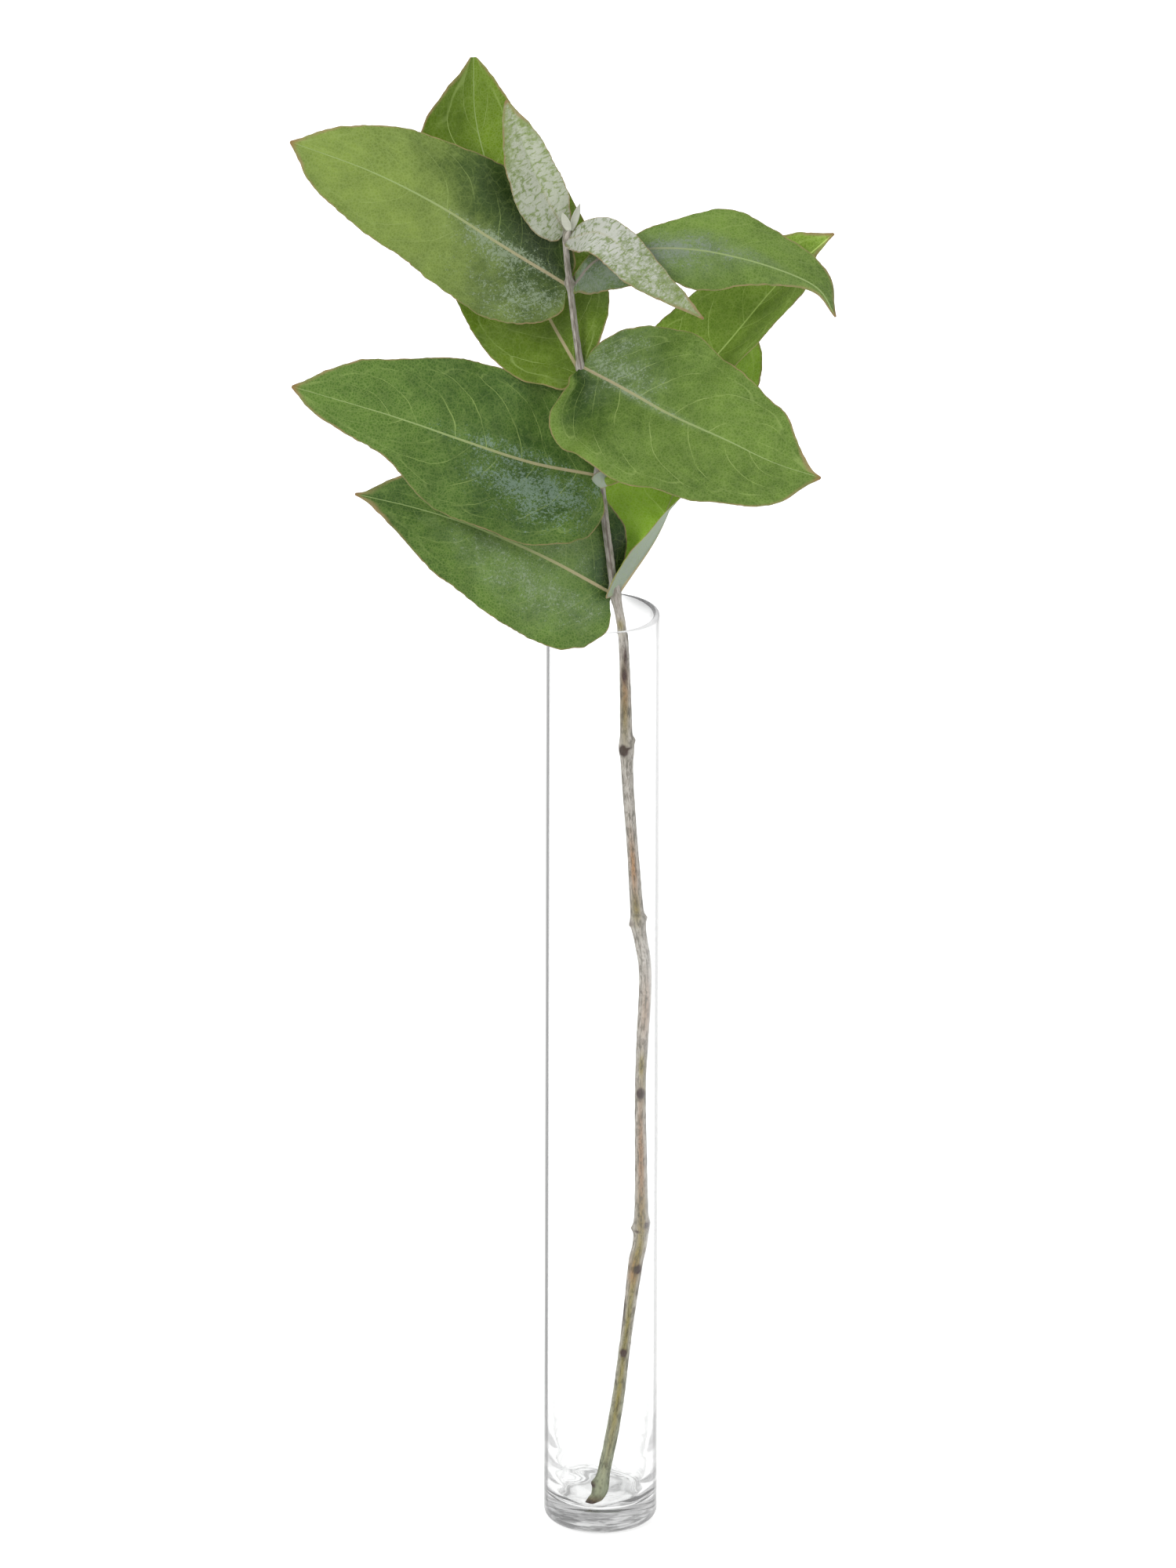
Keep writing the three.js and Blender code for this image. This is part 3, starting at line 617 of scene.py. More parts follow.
def vein_masks(s):
    """Masks from 0 to 1 of a leaf's side veins, its coarse and fine nets and its margin."""
    flat = s.uv("flat")
    phase, gap, _ = s.split(s.uv("veins"))
    across, half_width, _ = s.split(s.uv("edge"))
    turn = s.math("FRACT", phase)
    from_vein = s.times(s.minus(0.5, s.math("ABSOLUTE", s.minus(turn, 0.5))), gap)
    side_vein = s.times(s.near(from_vein, 0.06, 0.32), s.near(across, 0.80, 0.90))
    scallop = s.times(s.math("SINE", s.times(turn, math.pi)), 0.06)
    from_loop = s.times(s.math("ABSOLUTE", s.minus(across, s.plus(scallop, 0.81))), half_width)
    loop = s.step(from_loop, 0.1, 0.4, 0.45, 0)
    fading = s.step(s.noise(flat, 14, 1), 0.35, 0.6, 0.2, 1)
    veins = s.times(s.math("MAXIMUM", side_vein, loop), fading)
    coarse_net = s.near(s.cell_edges(s.warp(flat, 3, 2.0), 4.5), 0.02, 0.30)
    fine_net = s.near(s.cell_edges(flat, 1.3), 0.02, 0.30)
    margin = s.near(s.times(s.minus(1, across), half_width), 0.1, 0.6)
    return veins, coarse_net, fine_net, margin


def along_veins(s):
    """Places that run slower along the side veins, for wisps that follow them."""
    phase = s.split(s.uv("veins"))[0]
    across, half_width, _ = s.split(s.uv("edge"))
    return s.node("CombineXYZ", (s.times(phase, VEIN_SPACING),
                                 s.times(across, half_width, WISP_SLOWNESS)))[0]


def rib_mask(s, flat, share, breadth=1.0):
    """The midrib, which narrows from its base to the tip."""
    width = s.step(share, -0.05, 1.0, 0.85, 0.22 * breadth)
    return s.near(s.math("DIVIDE", s.math("ABSOLUTE", s.split(flat)[1]), width), 0.7, 1.15)


def rib_colour(s, share, base=RIB_BASE, tip=RIB_TIP):
    """The rib's colour, which changes from its base to the tip."""
    return s.mix(s.step(share, 0.05, 0.6), base, tip)


def leaf_upper(leaf):
    """Waxy upper side: green in soft patches, some of them painted shade, pale veins, brown margin
    and white bloom.
    """
    s = new_shader(leaf["name"] + "_upper")
    young = leaf.get("young", False)
    flat = s.uv("flat")
    share, tone, bloom = s.number("share"), s.number("tone"), s.number("bloom")
    veins, coarse_net, fine_net, margin = vein_masks(s)
    lightness = s.plus(s.times(tone, 0.5), 0.47, s.sway(flat, *PATCHES),
                       s.sway(along_veins(s), *WISPS), s.sway(flat, *SPECKLE))
    vein = leaf.get("vein", VEIN_LIGHT)
    wax = young_wax_mask(s, flat, bloom) if young else wax_mask(s, flat, bloom, leaf["haze"])
    rib = rib_mask(s, flat, share, leaf.get("breadth", 1.0))
    colour = s.coats(
        s.mix(lightness, *leaf["greens"]),
        # Painted shade: a tone below -0.8 turns the green near black where the blade lies in shade
        (PAINTED_SHADE_GREEN, s.step(tone, -2.0, -0.8, 0.95, 0)),
        (vein, fine_net, s.step(lightness, 0.0, 0.7, 0.05, 0.24)),
        (vein, coarse_net, COARSE_NET),
        (vein, veins, SIDE_VEINS * leaf["veins"]),
        (leaf["wax"], wax),
        (rib_colour(s, share, leaf.get("rib_base", RIB_BASE), leaf.get("rib_tip", RIB_TIP)),
         rib, YOUNG_RIB if young else GREEN_RIB),
        (MARGIN_BROWN, margin, s.step(s.noise(flat, 9, 2), 0.35, 0.65, 0.4, 0.9)))
    if "tip" not in leaf:
        colour = s.coats(colour, (TIP_BROWN, s.step(share, 0.965, 1.0, 0, 0.9)))
    relief = s.bump(s.times(veins, -0.05), s.times(fine_net, -0.03), s.times(coarse_net, -0.04),
                    s.times(s.noise(flat, 0.9, 3), 0.10))
    roughness = s.plus(s.times(wax, 0.25), s.times(s.noise(flat, 5, 2), 0.25), 0.30)
    skin = s.principled(Base_Color=colour, Roughness=roughness, Specular_IOR_Level=0.38,
                        Normal=relief)
    return with_light_through(s, skin, colour, relief)


def wax_mask(s, flat, bloom, strength):
    """Cover of the white bloom, rubbed off in specks, over an even haze."""
    cover = s.plus(bloom, s.sway(along_veins(s), *WAX_WISPS),
                   s.sway(s.warp(flat, 2.5, 1.0), *WAX_FINE), s.sway(flat, *WAX_BROAD))
    specks = s.step(cover, 0.74, 1.08, 0, 0.80)
    broad = s.noise(flat, *WAX_BROAD[0])
    haze = s.times(bloom, s.step(broad, 0.3, 0.7, 0.4 * strength, strength))
    return s.times(s.math("MAXIMUM", specks, haze), s.step(bloom, 0.04, 0.3))


def young_wax_mask(s, flat, bloom):
    """Nearly whole cover, with short thin streaks rubbed through to the green across the leaf."""
    place = s.warp(s.stretch(flat, y=0.42), 1.8, 1.6)
    streak = s.times(s.near(s.cell_edges(place, 2.4), 0.05, 0.42),
                     s.step(s.noise(flat, 3.2, 3, 0.6), 0.42, 0.58))
    cover = s.plus(s.times(bloom, 1.25), s.sway(place, *YOUNG_FINE), s.sway(flat, *YOUNG_BROAD))
    return s.times(s.step(cover, 0.1, 0.95, 0.15, 0.95), s.minus(1, s.times(streak, 0.85)))


def leaf_under(leaf):
    """Paler underside with raised veins."""
    s = new_shader(leaf["name"] + "_under")
    flat = s.uv("flat")
    share = s.number("share")
    veins, coarse_net, fine_net, margin = vein_masks(s)
    tone = s.plus(s.times(s.noise(flat, 14, 2), 0.5), s.times(s.noise(flat, 1.4, 5, 0.7), 0.5))
    colour = s.coats(s.mix(tone, *UNDERSIDE), (VEIN_LIGHT, coarse_net, 0.2),
                     (VEIN_LIGHT, veins, 0.5), (rib_colour(s, share), rib_mask(s, flat, share)),
                     (MARGIN_BROWN, margin, 0.7))
    relief = s.bump(s.times(veins, 0.10), s.times(coarse_net, 0.05), s.times(fine_net, 0.02))
    skin = s.principled(Base_Color=colour, Roughness=0.62, Specular_IOR_Level=0.3, Normal=relief)
    return with_light_through(s, skin, colour, relief)


def with_light_through(s, skin, colour, relief):
    """Some light passes through the blade and comes out yellower."""
    glow = s.node("BsdfTranslucent", {"Color": s.mix(0.75, colour, LIGHT_THROUGH, "MULTIPLY"),
                                      "Normal": relief})[0]
    return s.finish(s.mix_shader(0.3, skin, glow))


# Stem axis, which the stem and the leaves that clasp it both use

STEM_T = np.linspace(0, 1, STEM_RINGS + 1)
STEM_AXIS = spline([point[:3] for point in STEM_ROUTE], STEM_T)
STEM_RADIUS = spline([[point[3]] for point in STEM_ROUTE], STEM_T)[:, 0]
for middle, rise, reach in STEM_JOINTS:
    STEM_RADIUS = STEM_RADIUS + rise * np.exp(-((STEM_AXIS[:, 2] - middle) / reach) ** 2)


def clear_of_stem(points, thickness):
    """Move points of a blade out to where the blade just clears the stem."""
    shape = points.shape
    points = points.reshape(-1, 3)
    parts = np.array_split(points, range(2000, len(points), 2000))
    nearest = np.concatenate([
        (np.linalg.norm(part[:, None] - STEM_AXIS, axis=2) - STEM_RADIUS).argmin(1)
        for part in parts])
    foot = STEM_AXIS[nearest]
    reach = STEM_RADIUS[nearest] * (1 + CORNERS) + CLEARANCE + thickness.ravel() / 2
    away = points - foot
    distance = np.linalg.norm(away, axis=1)
    room = distance - reach
    pushed = reach + 0.5 * (room + np.sqrt(room ** 2 + 0.15))
    scale = np.where(room < 3, pushed / np.maximum(distance, 1e-6), 1)
    return (foot + away * scale[:, None]).reshape(shape)


# Leaf shapes

class Blade:
    """One leaf's middle surface, as rows from the left margin over the rib to the right."""

    def __init__(self, leaf, seed):
        self.leaf = leaf
        self.seed = seed
        self.rib = Rib(leaf["rib"])
        columns = np.arange(-HALF_COLUMNS, HALF_COLUMNS + 1)
        self.across = np.sign(columns) * (np.abs(columns) / HALF_COLUMNS) ** 1.25
        self.t = np.linspace(0, 1, LEAF_ROWS + 1)
        self.lay_out()

    def margin(self, half):
        """Margin of one half: distance along the rib and distance from it, at each row."""
        widths = self.leaf[("left", "right")[half]]
        lobe = self.leaf["lobes"][half]
        length = self.rib.length
        points = [[-0.8 * lobe, 0.32 * widths[0]], [-lobe, 0.62 * widths[0]]]
        points += [[share * length, width] for share, width in zip(STATIONS, widths)]
        edge = spline(points + [[length, self.leaf.get("tip", TIP_HALF_WIDTH)]], self.t)
        places = np.stack([edge[:, 0], np.full_like(self.t, 40.0 * half), 0 * self.t], 1)
        nibble = 0.45 * grain(places, 4.5, self.seed) + 0.35 * grain(places, 1.8, self.seed)
        edge[:, 1] += nibble * np.clip(edge[:, 1] / 6, 0, 1)
        return edge

    def lay_out(self):
        """Place of each grid point on the flat leaf: along the rib, and out from it."""
        half = (self.across >= 0).astype(int)
        edges = np.stack([self.margin(0), self.margin(1)], 1)[:, half]
        rib_along = (self.rib.length * self.t ** 1.5 - BASE_REACH * (1 - self.t) ** 8)[:, None]
        self.along = rib_along + (edges[..., 0] - rib_along) * self.across ** 2
        self.half_width = edges[..., 1]
        self.out = self.across * self.half_width
        self.share = self.along / self.rib.length

    def surface(self):
        """The grid bent into space, with its waves, quilting and clear of the stem."""
        t = np.clip(self.share, 0, 1)
        tangent = self.rib.tangent(t)
        centre = self.rib.at(t) + tangent * np.minimum(self.along, 0)[..., None]
        face = blend(self.leaf["faces"], t)
        normal = unit(face - (face * tangent).sum(-1, keepdims=True) * tangent)
        sideways = np.cross(tangent, normal)
        left = self.out < 0
        reach = np.abs(self.out)
        folds = [np.radians(blend(values, t)) for values in self.leaf.get("fold", EVEN_FOLD)]
        rise = np.where(left, *folds)
        height, length, *starts = self.leaf["wave"]
        start = np.where(left, *starts)
        wave = height * (reach / WAVE_REACH) ** 2 * np.sin(2 * np.pi * self.along / length + start)
        level = reach * np.sin(rise) + wave + self.small_relief()
        flat_out = np.sign(self.out) * reach * np.cos(rise)
        points = centre + sideways * flat_out[..., None] + normal * level[..., None]
        return clear_of_stem(points, self.thickness())

    def small_relief(self):
        """Ripples that grow towards the margin, and a quilted rise between the side veins."""
        places = np.stack([self.along, self.out, 0 * self.out], -1)
        from_rib = np.abs(self.across)
        ripple = (0.9 * from_rib ** 2 * grain(places, 9, self.seed)
                  + 0.35 * grain(places, 16, self.seed + 5))
        phase = np.where(self.out < 0, self.vein_phase(0), self.vein_phase(1))
        quilt = 0.28 * np.abs(np.sin(np.pi * phase)) * np.sin(np.pi * from_rib ** 0.8)
        return np.clip(self.half_width / 12, 0, 1) * (ripple + quilt)

    def vein_positions(self, half):
        """Where the side veins of one half leave the rib, in millimetres from the leaf's base."""
        random = np.random.default_rng(self.seed * 10 + half)
        steps = random.uniform(*VEIN_STEPS, VEIN_COUNT) * max(self.rib.length, 90)
        return np.cumsum(steps) - 0.45 * self.rib.length

    def vein_phase(self, half):
        """A number that is whole on each side vein and rises evenly from vein to vein."""
        bow = 0.38 * np.abs(self.across) + 0.62 * np.abs(self.across) ** 3
        scale = 1.15 * max(self.leaf["left"] + self.leaf["right"])
        places = np.stack([self.along, self.out + 70 * half, 0 * self.out], -1)
        wander = 1.1 * grain(places, 9, self.seed + 3) + 0.3 * grain(places, 3, self.seed + 4)
        positions = self.vein_positions(half)
        return np.interp(self.along - bow * scale + wander, positions, np.arange(VEIN_COUNT))

    def vein_gap(self, half):
        """Distance between the side veins, square to them, in millimetres."""
        gaps = np.diff(self.vein_positions(half))
        return 0.85 * gaps[np.clip(self.vein_phase(half).astype(int), 0, len(gaps) - 1)]

    def thickness(self):
        middle = 1 - np.abs(self.across) ** 4
        return np.broadcast_to(BLADE_EDGE + (BLADE_MIDDLE - BLADE_EDGE) * middle, self.out.shape)

    def patches(self, patches):
        """Sum of soft patches over the blade."""
        total = np.zeros_like(self.out)
        for share, place, reach_along, reach_across, strength in patches:
            total += strength * np.exp(-((self.share - share) / reach_along) ** 2
                                       - ((self.across - place) / reach_across) ** 2)
        return total


def grid_normals(points):
    """Directions square to a grid of points, on its upper side."""
    forward, across = np.gradient(points, axis=(0, 1))
    return unit(np.cross(across, forward) + 1e-9)


def rim_indices(rows, columns):
    """Vertices round a grid's edge, in order."""
    grid = np.arange(rows * columns).reshape(rows, columns)
    return np.concatenate([grid[0], grid[1:, -1], grid[-1, -2::-1], grid[-2:0:-1, 0]])


def make_leaf(leaf, seed):
    """One leaf blade. Its underside's material is handed back."""
    blade = Blade(leaf, seed)
    points = blade.surface()
    half = blade.thickness()[..., None] / 2
    slim = np.clip(1 - blade.share, 0, 1)
    ridge = np.exp(-(blade.out / RIB_SPREAD) ** 2)
    over = (RIB_RISE * slim * ridge)[..., None]
    keel = (RIB_KEEL * slim ** 0.8 * ridge)[..., None]
    vertices, faces, slots = shell(points, half + over, half + keel)
    piece = make_mesh(leaf["name"] + "_blade", vertices, faces.tolist(),
                      [leaf_upper(leaf), leaf_under(leaf)], slots)
    give_leaf_fields(piece.data, blade, faces)
    sharpen_rim(piece.data, *blade.out.shape)
    dress(piece, leaf["name"])
    return piece.data.materials[1]


def shell(points, above, below):
    """Vertices, faces and material slots of a closed blade round a grid of points."""
    rows, columns = points.shape[:2]
    count = rows * columns
    normals = grid_normals(points)
    upper = points + normals * above
    lower = points - normals * below
    top = grid_faces(rows, columns)
    under = top[:, ::-1] + count
    rim = rim_indices(rows, columns)
    after = np.roll(rim, -1)
    wall = np.stack([rim, rim + count, after + count, after], 1)
    slots = np.repeat([0, 1, 0], [len(top), len(under), len(wall)])
    return (np.concatenate([upper.reshape(-1, 3), lower.reshape(-1, 3)]),
            np.concatenate([top, under, wall]), slots)


def give_leaf_fields(mesh, blade, faces):
    """Write where each corner lies on the leaf, for the materials."""
    corners = faces % blade.out.size
    is_right = (corners % len(blade.across)).mean(1) >= HALF_COLUMNS
    side = np.repeat(is_right, 4).astype(int)
    corner = corners.ravel()
    phase = np.stack([blade.vein_phase(half).ravel() for half in (0, 1)])[side, corner]
    gap = np.stack([blade.vein_gap(half).ravel() for half in (0, 1)])[side, corner]
    across = np.abs(np.broadcast_to(blade.across, blade.out.shape)).ravel()[corner]
    apart = 200.0 * blade.seed
    add_uv(mesh, "flat", blade.along.ravel()[corner] + apart, blade.out.ravel()[corner])
    add_uv(mesh, "veins", phase, gap)
    add_uv(mesh, "edge", across, blade.half_width.ravel()[corner])
    for name, values in (("share", blade.share),
                         ("tone", np.clip(blade.patches(blade.leaf["tone"]), -2, 1)),
                         ("bloom", np.clip(blade.patches(blade.leaf["bloom"]), 0, 1))):
        add_number(mesh, name, np.tile(values.ravel(), 2))


def sharpen_rim(mesh, rows, columns):
    """Keep the blade's thin edge crisp, so that its faces shade flat up to the margin."""
    count = rows * columns
    on_rim = np.zeros(count, bool)
    on_rim[rim_indices(rows, columns)] = True
    ends = np.empty(len(mesh.edges) * 2, np.int32)
    mesh.edges.foreach_get("vertices", ends)
    ends = ends.reshape(-1, 2)
    sharp = on_rim[ends % count].all(1) & ((ends[:, 0] < count) == (ends[:, 1] < count))
    attribute = mesh.attributes.new("sharp_edge", "BOOLEAN", "EDGE")
    attribute.data.foreach_set("value", sharp)


def make_curl(material):
    """A small rolled lobe, a rounded patch bent round the stem with its edge turned out."""
    u = np.linspace(-1, 1, 29)[None, :]
    v = np.linspace(-1, 1, 21)[:, None]
    u_round = u * np.sqrt(1 - v ** 2 / 2)
    v_round = v * np.sqrt(1 - u ** 2 / 2)
    middle_x, middle_z = (CURL_LEFT + CURL_RIGHT) / 2, (CURL_TOP + CURL_BOTTOM) / 2
    x = middle_x + (CURL_RIGHT - CURL_LEFT) / 2 * u_round + 0.5 * v_round
    z = middle_z + (CURL_TOP - CURL_BOTTOM) / 2 * v_round + 0.9 * u_round
    from_axis = np.clip(np.abs(x - CURL_AXIS[0]) / (CURL_RADIUS * 1.25), 0, 0.98)
    y = CURL_AXIS[1] - CURL_RADIUS * np.sqrt(1 - from_axis ** 2) - 0.7 * (u_round - 0.2) ** 2
    points = np.stack([x, y, z], -1)
    points[..., 1] += 0.25 * grain(points, 3)
    vertices, faces, _ = shell(points, CURL_THICKNESS, CURL_THICKNESS)
    piece = make_mesh(CURL_LEAF + "_curl", vertices, faces.tolist(), [material])
    corner = faces.ravel() % z.size
    rim = np.maximum(np.abs(u), np.abs(v)).ravel()
    add_uv(piece.data, "flat", z.ravel()[corner], x.ravel()[corner] + 9)
    add_uv(piece.data, "veins", np.full(len(corner), 0.5), np.full(len(corner), 12.0))
    add_uv(piece.data, "edge", rim[corner], np.full(len(corner), 4.0))
    add_number(piece.data, "share", np.full(len(vertices), 0.5))
    dress(piece, CURL_LEAF)


# Stem

def stem_shape():
    """Rings of the stem, with its corners, ridges, knobs and slanting cut."""
    tangent = unit(np.gradient(STEM_AXIS, axis=0))
    side = unit(np.array([1.0, 0, 0]) - tangent * tangent[:, :1])
    front = np.cross(tangent, side)
    angle = around(STEM_SIDES)
    outward = side[:, None] * np.cos(angle)[:, None] + front[:, None] * np.sin(angle)[:, None]
    radius = STEM_RADIUS[:, None] * (1 + CORNERS * np.cos(4 * angle))
    ridged = radius + RIDGES * np.cos(12 * angle)
    points = STEM_AXIS[:, None] + outward * ridged[..., None]
    points = points + outward * (0.10 * grain(points, 3.0) + 0.05 * grain(points, 1.1))[..., None]
    for place, sizes in KNOBS:
        points = points + outward * knob_rise(points, np.array(place), np.array(sizes))[..., None]
    for leaf in LEAVES:
        from_base = np.linalg.norm(points - np.array(leaf["rib"][0], float), axis=-1)
        points = points + outward * (0.9 * np.exp(-(from_base / 2.0) ** 2))[..., None]
    cut = CUT_SLOPE * radius[0] * np.cos(angle)
    for ring in range(CUT_RINGS):
        points[ring] += tangent[ring] * (cut * (1 - ring / CUT_RINGS))[:, None]
    return points


def knob_rise(points, place, sizes):
    """How far a knob lifts the bark at each point."""
    apart = (points - place) / (sizes * 1.15)
    return 0.75 * sizes.mean() * np.exp(-(apart ** 2).sum(-1) * 1.3)


def stem_material():
    """Grey bark with a pale bloom, streaked along its length, greener at the cut foot."""
    s = new_shader("stem_bark")
    place = s.uv("bark")
    streaks = s.noise(s.stretch(place, y=0.12), 0.55, 5, 0.7)
    lumps = s.noise(s.stretch(place, y=0.5), 3.0, 3)
    cracks = s.step(s.noise(s.stretch(place, y=0.10), 0.9, 4, 0.7), 0.52, 0.60)
    mottles = s.step(s.noise(s.stretch(place, y=0.4), 2.2, 5, 0.8), 0.48, 0.62)
    pale = s.step(s.plus(s.times(streaks, 0.7), s.times(lumps, 0.5)), 0.48, 0.70)
    old = s.number("old")
    bark = s.mix(pale, s.mix(old, BARK_GREY, BARK_OLD),
                 s.mix(s.times(old, 0.5), BARK_PALE, BARK_GREY))
    breakup = s.step(streaks, 0.25, 0.6, 0.65, 1.0)
    strong = s.plus(s.times(s.number("lower"), 0.35), 0.25)
    stained = [(colour, s.number(name), breakup) for name, colour in STAIN_COLOURS.items()]
    colour = s.coats(bark, (FRESH_GREEN, s.number("fresh"), 0.8), *stained,
                     (BARK_DEEP, cracks, strong), (BARK_DEEP, mottles, strong),
                     (SILVER_WAX, s.number("bud")))
    return s.finish(s.principled(
        Base_Color=colour, Roughness=s.step(lumps, 0.3, 0.7, 0.55, 0.75), Specular_IOR_Level=0.35,
        Normal=s.bump(s.times(streaks, 0.16), s.times(lumps, 0.12))))


def make_stem():
    """The bark, closed by a fan of triangles at each end, with the leaflets of its tip."""
    points = stem_shape()
    rings, sides = points.shape[:2]
    ends = [points[0].mean(0), points[-1].mean(0) + TIP_POINT]
    low = rings * sides
    high = low + 1
    last = low - sides
    quads = tube_faces(rings, sides)
    faces = quads.tolist()
    for i in range(sides):
        after = (i + 1) % sides
        faces += [[low, after, i], [high, last + i, last + after]]
    leaflets, leaflet_faces = tip_leaflets(high + 1)
    vertices = np.concatenate([points.reshape(-1, 3), ends, leaflets])
    piece = make_mesh("stem_bark", vertices, faces + leaflet_faces, [stem_material()])
    turn = np.full(len(vertices), float(FRONT))
    turn[:low] = np.tile(np.degrees(around(sides)), rings)
    give_stem_fields(piece.data, vertices[:, 2], turn, len(quads), high + 1)
    dress(piece, "stem")


def give_stem_fields(mesh, height, turn, quad_count, first_leaflet):
    """Write the stains, the age of the bark and its unrolled places, for the material."""
    on_stem = np.arange(len(height)) < first_leaflet
    for name, marks in STAINS.items():
        add_number(mesh, name, stains(height, turn, marks) * on_stem)
    add_number(mesh, "bud", 0.7 * ~on_stem)
    add_number(mesh, "fresh", np.clip(1 - (height - 15) / 90, 0, 1))
    add_number(mesh, "old", 0.55 * np.clip((height - 430) / 20, 0, 1) * on_stem)
    add_number(mesh, "lower", np.clip((438 - height) / 12, 0, 1))
    corner = np.empty(len(mesh.loops), np.int32)
    mesh.loops.foreach_get("vertex_index", corner)
    unrolled = np.radians(turn[corner]) * UNROLLED_RADIUS
    half_way = math.pi * UNROLLED_RADIUS
    quads = unrolled[:4 * quad_count].reshape(-1, 4)
    on_seam = np.ptp(quads, axis=1, keepdims=True) > half_way
    quads[on_seam & (quads < half_way)] += 2 * half_way
    add_uv(mesh, "bark", unrolled, height[corner])


def stains(height, turn, marks):
    """How strongly the marks stain each place on the bark."""
    total = np.zeros_like(height)
    for middle, angle, reach, spread, strength in marks:
        apart = (turn - angle + 180) % 360 - 180
        total += strength * np.exp(-((height - middle) / reach) ** 2 - (apart / spread) ** 2)
    return np.clip(total, 0, STAIN_LIMIT)


def tip_leaflets(first):
    """Two small folded leaflets round the bud, as boats with a keel."""
    all_points, faces = [], []
    rings, sides = LEAFLET_GRID
    share = np.linspace(0, 1, rings)[:, None]
    angle = around(sides)
    for start, (base, tip, half_width, face) in zip((first, first + rings * sides), TIP_LEAFLETS):
        base, tip = np.array(base, float), np.array(tip, float)
        along = unit(tip - base)
        across = unit(np.cross(along, unit(np.array(face, float))))
        up = np.cross(along, across)
        width = half_width * np.sin(np.pi * (0.16 + 0.84 * share)) ** 0.9 + 0.06
        sideways = width * np.cos(angle)
        level = 0.45 * np.sin(angle) * (1 - 0.6 * share) + 0.35 * sideways ** 2 / half_width
        centre = base + (tip - base) * share
        points = (centre[:, None] + across * sideways[..., None]
                  - up * (level - 0.6 * np.sin(np.pi * share))[..., None])
        all_points.append(points.reshape(-1, 3))
        faces += (tube_faces(rings, sides) + start).tolist()
        ring = start + np.arange(sides)
        faces += [ring[::-1].tolist(), (ring + (rings - 1) * sides).tolist()]
    return np.concatenate(all_points), faces


# Vase

def glass_material():
    """Clear glass with painted shade: dark where it is seen along its surface, and grey in the
    thick streaked foot, up the sides of its well and on the back of its lip.
    """
    s = new_shader("vase_glass")
    # Painted shade: black on the grazing edges, standing in for the dark lines that glass shows
    # there
    facing = s.node("LayerWeight", {"Blend": 0.5})["Facing"]
    edge = s.times(s.step(facing, 0.60, 0.72), s.number("outside"))
    # Painted shade: grey in the thick foot, up the sides of the well and on the back of the lip, in
    # flat streaks
    place = s.stretch(s.node("TexCoord")["Object"], z=STREAK_FLATNESS)
    streaks = s.step(s.noise(place, STREAK_SIZE, 4, 0.65), 0.42, 0.58, STREAK_GAP, 1.0)
    side = s.times(s.number("well"), s.step(facing, 0.28, 0.62))
    foot = s.times(s.math("MAXIMUM", s.number("foot"), side), streaks)
    grey = s.math("MAXIMUM", foot, s.number("lip"))
    colour = s.mix(grey, s.mix(edge, WALL_CLEAR, PAINTED_DARK_EDGE), PAINTED_FOOT_SHADE)
    glass = s.principled(Base_Color=colour, Roughness=0.0, IOR=GLASS_INDEX,
                         Transmission_Weight=1.0, Specular_Tint=GLOSS_TINT)
    ray = s.node("LightPath")
    trapped = s.node("BsdfTransparent", {"Color": TRAPPED_TINT})[0]
    deep = s.math("GREATER_THAN", ray["Ray Depth"], TRAPPED_DEPTH)
    seen = s.mix_shader(deep, glass, trapped)
    shade = s.mix(s.number("foot"), WALL_SHADOW, FOOT_SHADOW)
    shadow = s.node("BsdfTransparent", {"Color": shade})[0]
    lighting = s.math("MAXIMUM", ray["Is Shadow Ray"], ray["Is Diffuse Ray"])
    return s.finish(s.mix_shader(lighting, seen, shadow))


def vase_profile():
    """Radius and height, from the centre of the foot round the outside to the centre inside."""
    corner = [[FOOT_RADIUS + FOOT_CORNER * math.sin(a), FOOT_CORNER * (1 - math.cos(a))]
              for a in np.radians(np.linspace(0, 90, 10))]
    lip = WALL / 2
    rim = [[VASE_RADIUS - lip + lip * math.cos(a), VASE_HEIGHT - lip + lip * math.sin(a)]
           for a in np.radians(np.linspace(0, 180, 17))]
    straight = [[VASE_RADIUS, height] for height in np.linspace(8, VASE_HEIGHT - 4, 50)]
    inside = [[VASE_RADIUS - WALL, height] for height in np.linspace(VASE_HEIGHT - 4, WELL_TOP, 44)]
    well = spline(WELL + [[8, FLOOR]], np.linspace(0, 1, 60)).tolist()
    foot = [[radius, 0] for radius in (AXIS_GAP, 7, 14, 18)]
    return foot + corner + straight + rim + inside + well + [[4, FLOOR], [AXIS_GAP, FLOOR]]


def make_vase():
    """The glass, turned round its axis and slightly uneven."""
    profile = np.array(vase_profile())
    angle = around(VASE_SIDES)
    radius, height = profile[:, :1], profile[:, 1:]
    points = np.stack([radius * np.cos(angle), radius * np.sin(angle), height + 0 * angle], -1)
    points = with_glass_ripples(points, profile)
    faces = tube_faces(len(profile), VASE_SIDES)
    piece = make_mesh("vase_glass", points.reshape(-1, 3), faces.tolist(), [glass_material()])
    close_ends(piece.data)
    give_glass_fields(piece.data)
    dress(piece, "vase")


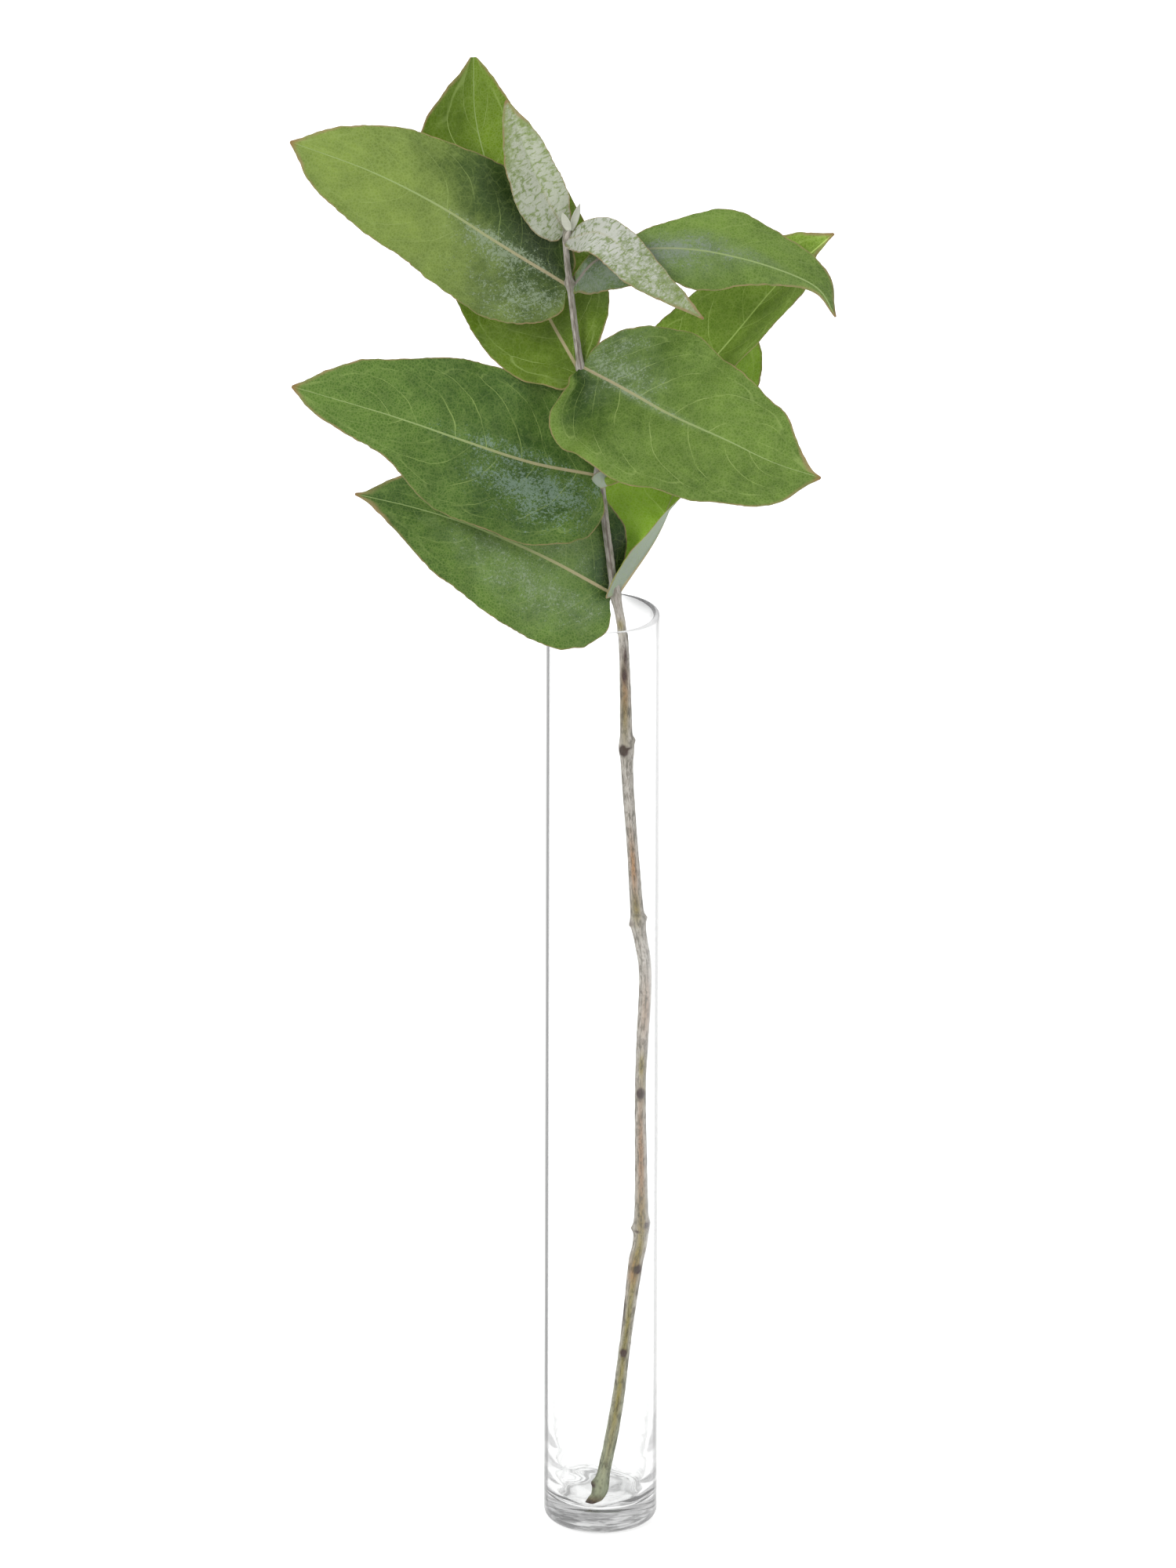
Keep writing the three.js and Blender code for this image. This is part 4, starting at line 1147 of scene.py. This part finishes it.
def with_glass_ripples(points, profile):
    """Blown glass is slightly uneven, most of all where the thick foot was gathered."""
    height = profile[:, 1]
    place = np.arange(len(profile))
    inside = (place > np.argmax(height)) & (profile[:, 0] > 5)
    outside = (place < np.argmax(height)) & (height > 3)
    near_foot = np.exp(-(np.maximum(height - 10, 0) / RIPPLE_REACH) ** 2)
    amount = np.where(inside, RIPPLE_INSIDE + RIPPLE_FOOT * near_foot, 0.0)
    amount = np.where(outside, RIPPLE_OUTSIDE * near_foot, amount)
    ripple = grain(points * [1, 1, 2.2], RIPPLE_SIZE) * amount[:, None]
    outward = points * [1, 1, 0]
    outward = outward / np.maximum(np.linalg.norm(outward, axis=-1, keepdims=True), 1e-6)
    return points + outward * ripple[..., None]


def close_ends(mesh):
    """Join the two tiny rings on the axis into points, so that the glass is one closed body."""
    work = bmesh.new()
    work.from_mesh(mesh)
    bmesh.ops.remove_doubles(work, verts=work.verts, dist=3 * AXIS_GAP * MM)
    work.to_mesh(mesh)
    work.free()


def give_glass_fields(mesh):
    """Write where the glass is thick, and how strong its painted shade is, for the material."""
    x, y, z = np.array([vertex.co for vertex in mesh.vertices]).T / MM
    radius = np.hypot(x, y)
    outside = radius > VASE_RADIUS - WALL / 2
    low = np.clip((FLOOR + 4 - z) / 4, 0, 1)
    # The thick foot, which dims the light through it and is grey with painted shade
    add_number(mesh, "foot", np.where(outside | ((z < 4) & (radius > 19)), low, 0.04))
    # Painted shade: grey up the sides of the well
    add_number(mesh, "well", 0.6 * np.clip((64 - z) / 30, 0, 1))
    # Painted shade: a grey crescent on the back right of the lip
    back_right = np.clip(3 * ((0.9 * x + 0.45 * y) / VASE_RADIUS - 0.55), 0, 1)
    add_number(mesh, "lip", 0.75 * np.clip((z - VASE_HEIGHT + 6) / 3, 0, 1) * back_right)
    # Painted shade: how dark the grazing edges are, darkest on the left of the outside wall
    add_number(mesh, "outside", np.where(outside, 0.85 - 0.15 * x / VASE_RADIUS, 0.2))


# Studio

def make_floor():
    """A plain pale floor, a hair below the foot."""
    corners = [(x * FLOOR_SIZE, y * FLOOR_SIZE, FLOOR_DROP)
               for x, y in ((-1, -1), (1, -1), (1, 1), (-1, 1))]
    s = new_shader("floor_white")
    s.finish(s.principled(Base_Color=FLOOR_COLOUR, Roughness=0.9, Specular_IOR_Level=0.1))
    make_mesh("floor", corners, [(0, 1, 2, 3)], [s.owner])


def make_world():
    """White where it is seen, also in or through the glass, and dimmer as a light on the rest."""
    s = Shader(bpy.data.worlds.new("studio"), "OutputWorld")
    ray = s.node("LightPath")
    seen = s.math("MAXIMUM", ray["Is Camera Ray"], ray["Is Singular Ray"])
    strength = s.math("MAXIMUM", seen, AMBIENT)
    background = s.node("Background", {"Color": WHITE, "Strength": strength})[0]
    bpy.context.scene.world = s.finish(background)


def make_light(name, place, aim, size, power):
    """A round lamp that lights the object and isn't seen itself."""
    light = bpy.data.lights.new(name, "AREA")
    light.shape = "DISK"
    light.size = size
    light.energy = power
    lamp = link(bpy.data.objects.new(name, light))
    lamp.location = place
    lamp.rotation_euler = (Vector(aim) - Vector(place)).to_track_quat("-Z", "Y").to_euler()
    lamp.visible_camera = False
    lamp.visible_glossy = False
    lamp.visible_transmission = False


def make_camera():
    """The photo's view, from far off so that its lines stay parallel."""
    data = bpy.data.cameras.new("camera")
    data.sensor_fit = "AUTO"
    data.sensor_width = SENSOR
    data.lens = CAMERA_DISTANCE * SENSOR / (MM_PER_PIXEL * IMAGE_HEIGHT)
    data.clip_start = 1
    data.clip_end = 100
    camera = link(bpy.data.objects.new("camera", data))
    target = Matrix.Translation(Vector(CAMERA_TARGET) * MM)
    tilt = Matrix.Rotation(math.pi / 2 - CAMERA_ELEVATION, 4, "X")
    roll = Matrix.Rotation(CAMERA_ROLL, 4, "Z")
    away = Matrix.Translation((0, 0, CAMERA_DISTANCE * MM))
    camera.matrix_world = target @ tilt @ roll @ away
    bpy.context.scene.camera = camera


make_camera()
make_floor()
make_world()
for name, settings in LAMPS.items():
    make_light(name, *settings)
bpy.context.scene.view_settings.view_transform = "Standard"

make_vase()
make_stem()
for seed, leaf in enumerate(LEAVES, 1):
    underside = make_leaf(leaf, seed)
    if leaf["name"] == CURL_LEAF:
        make_curl(underside)
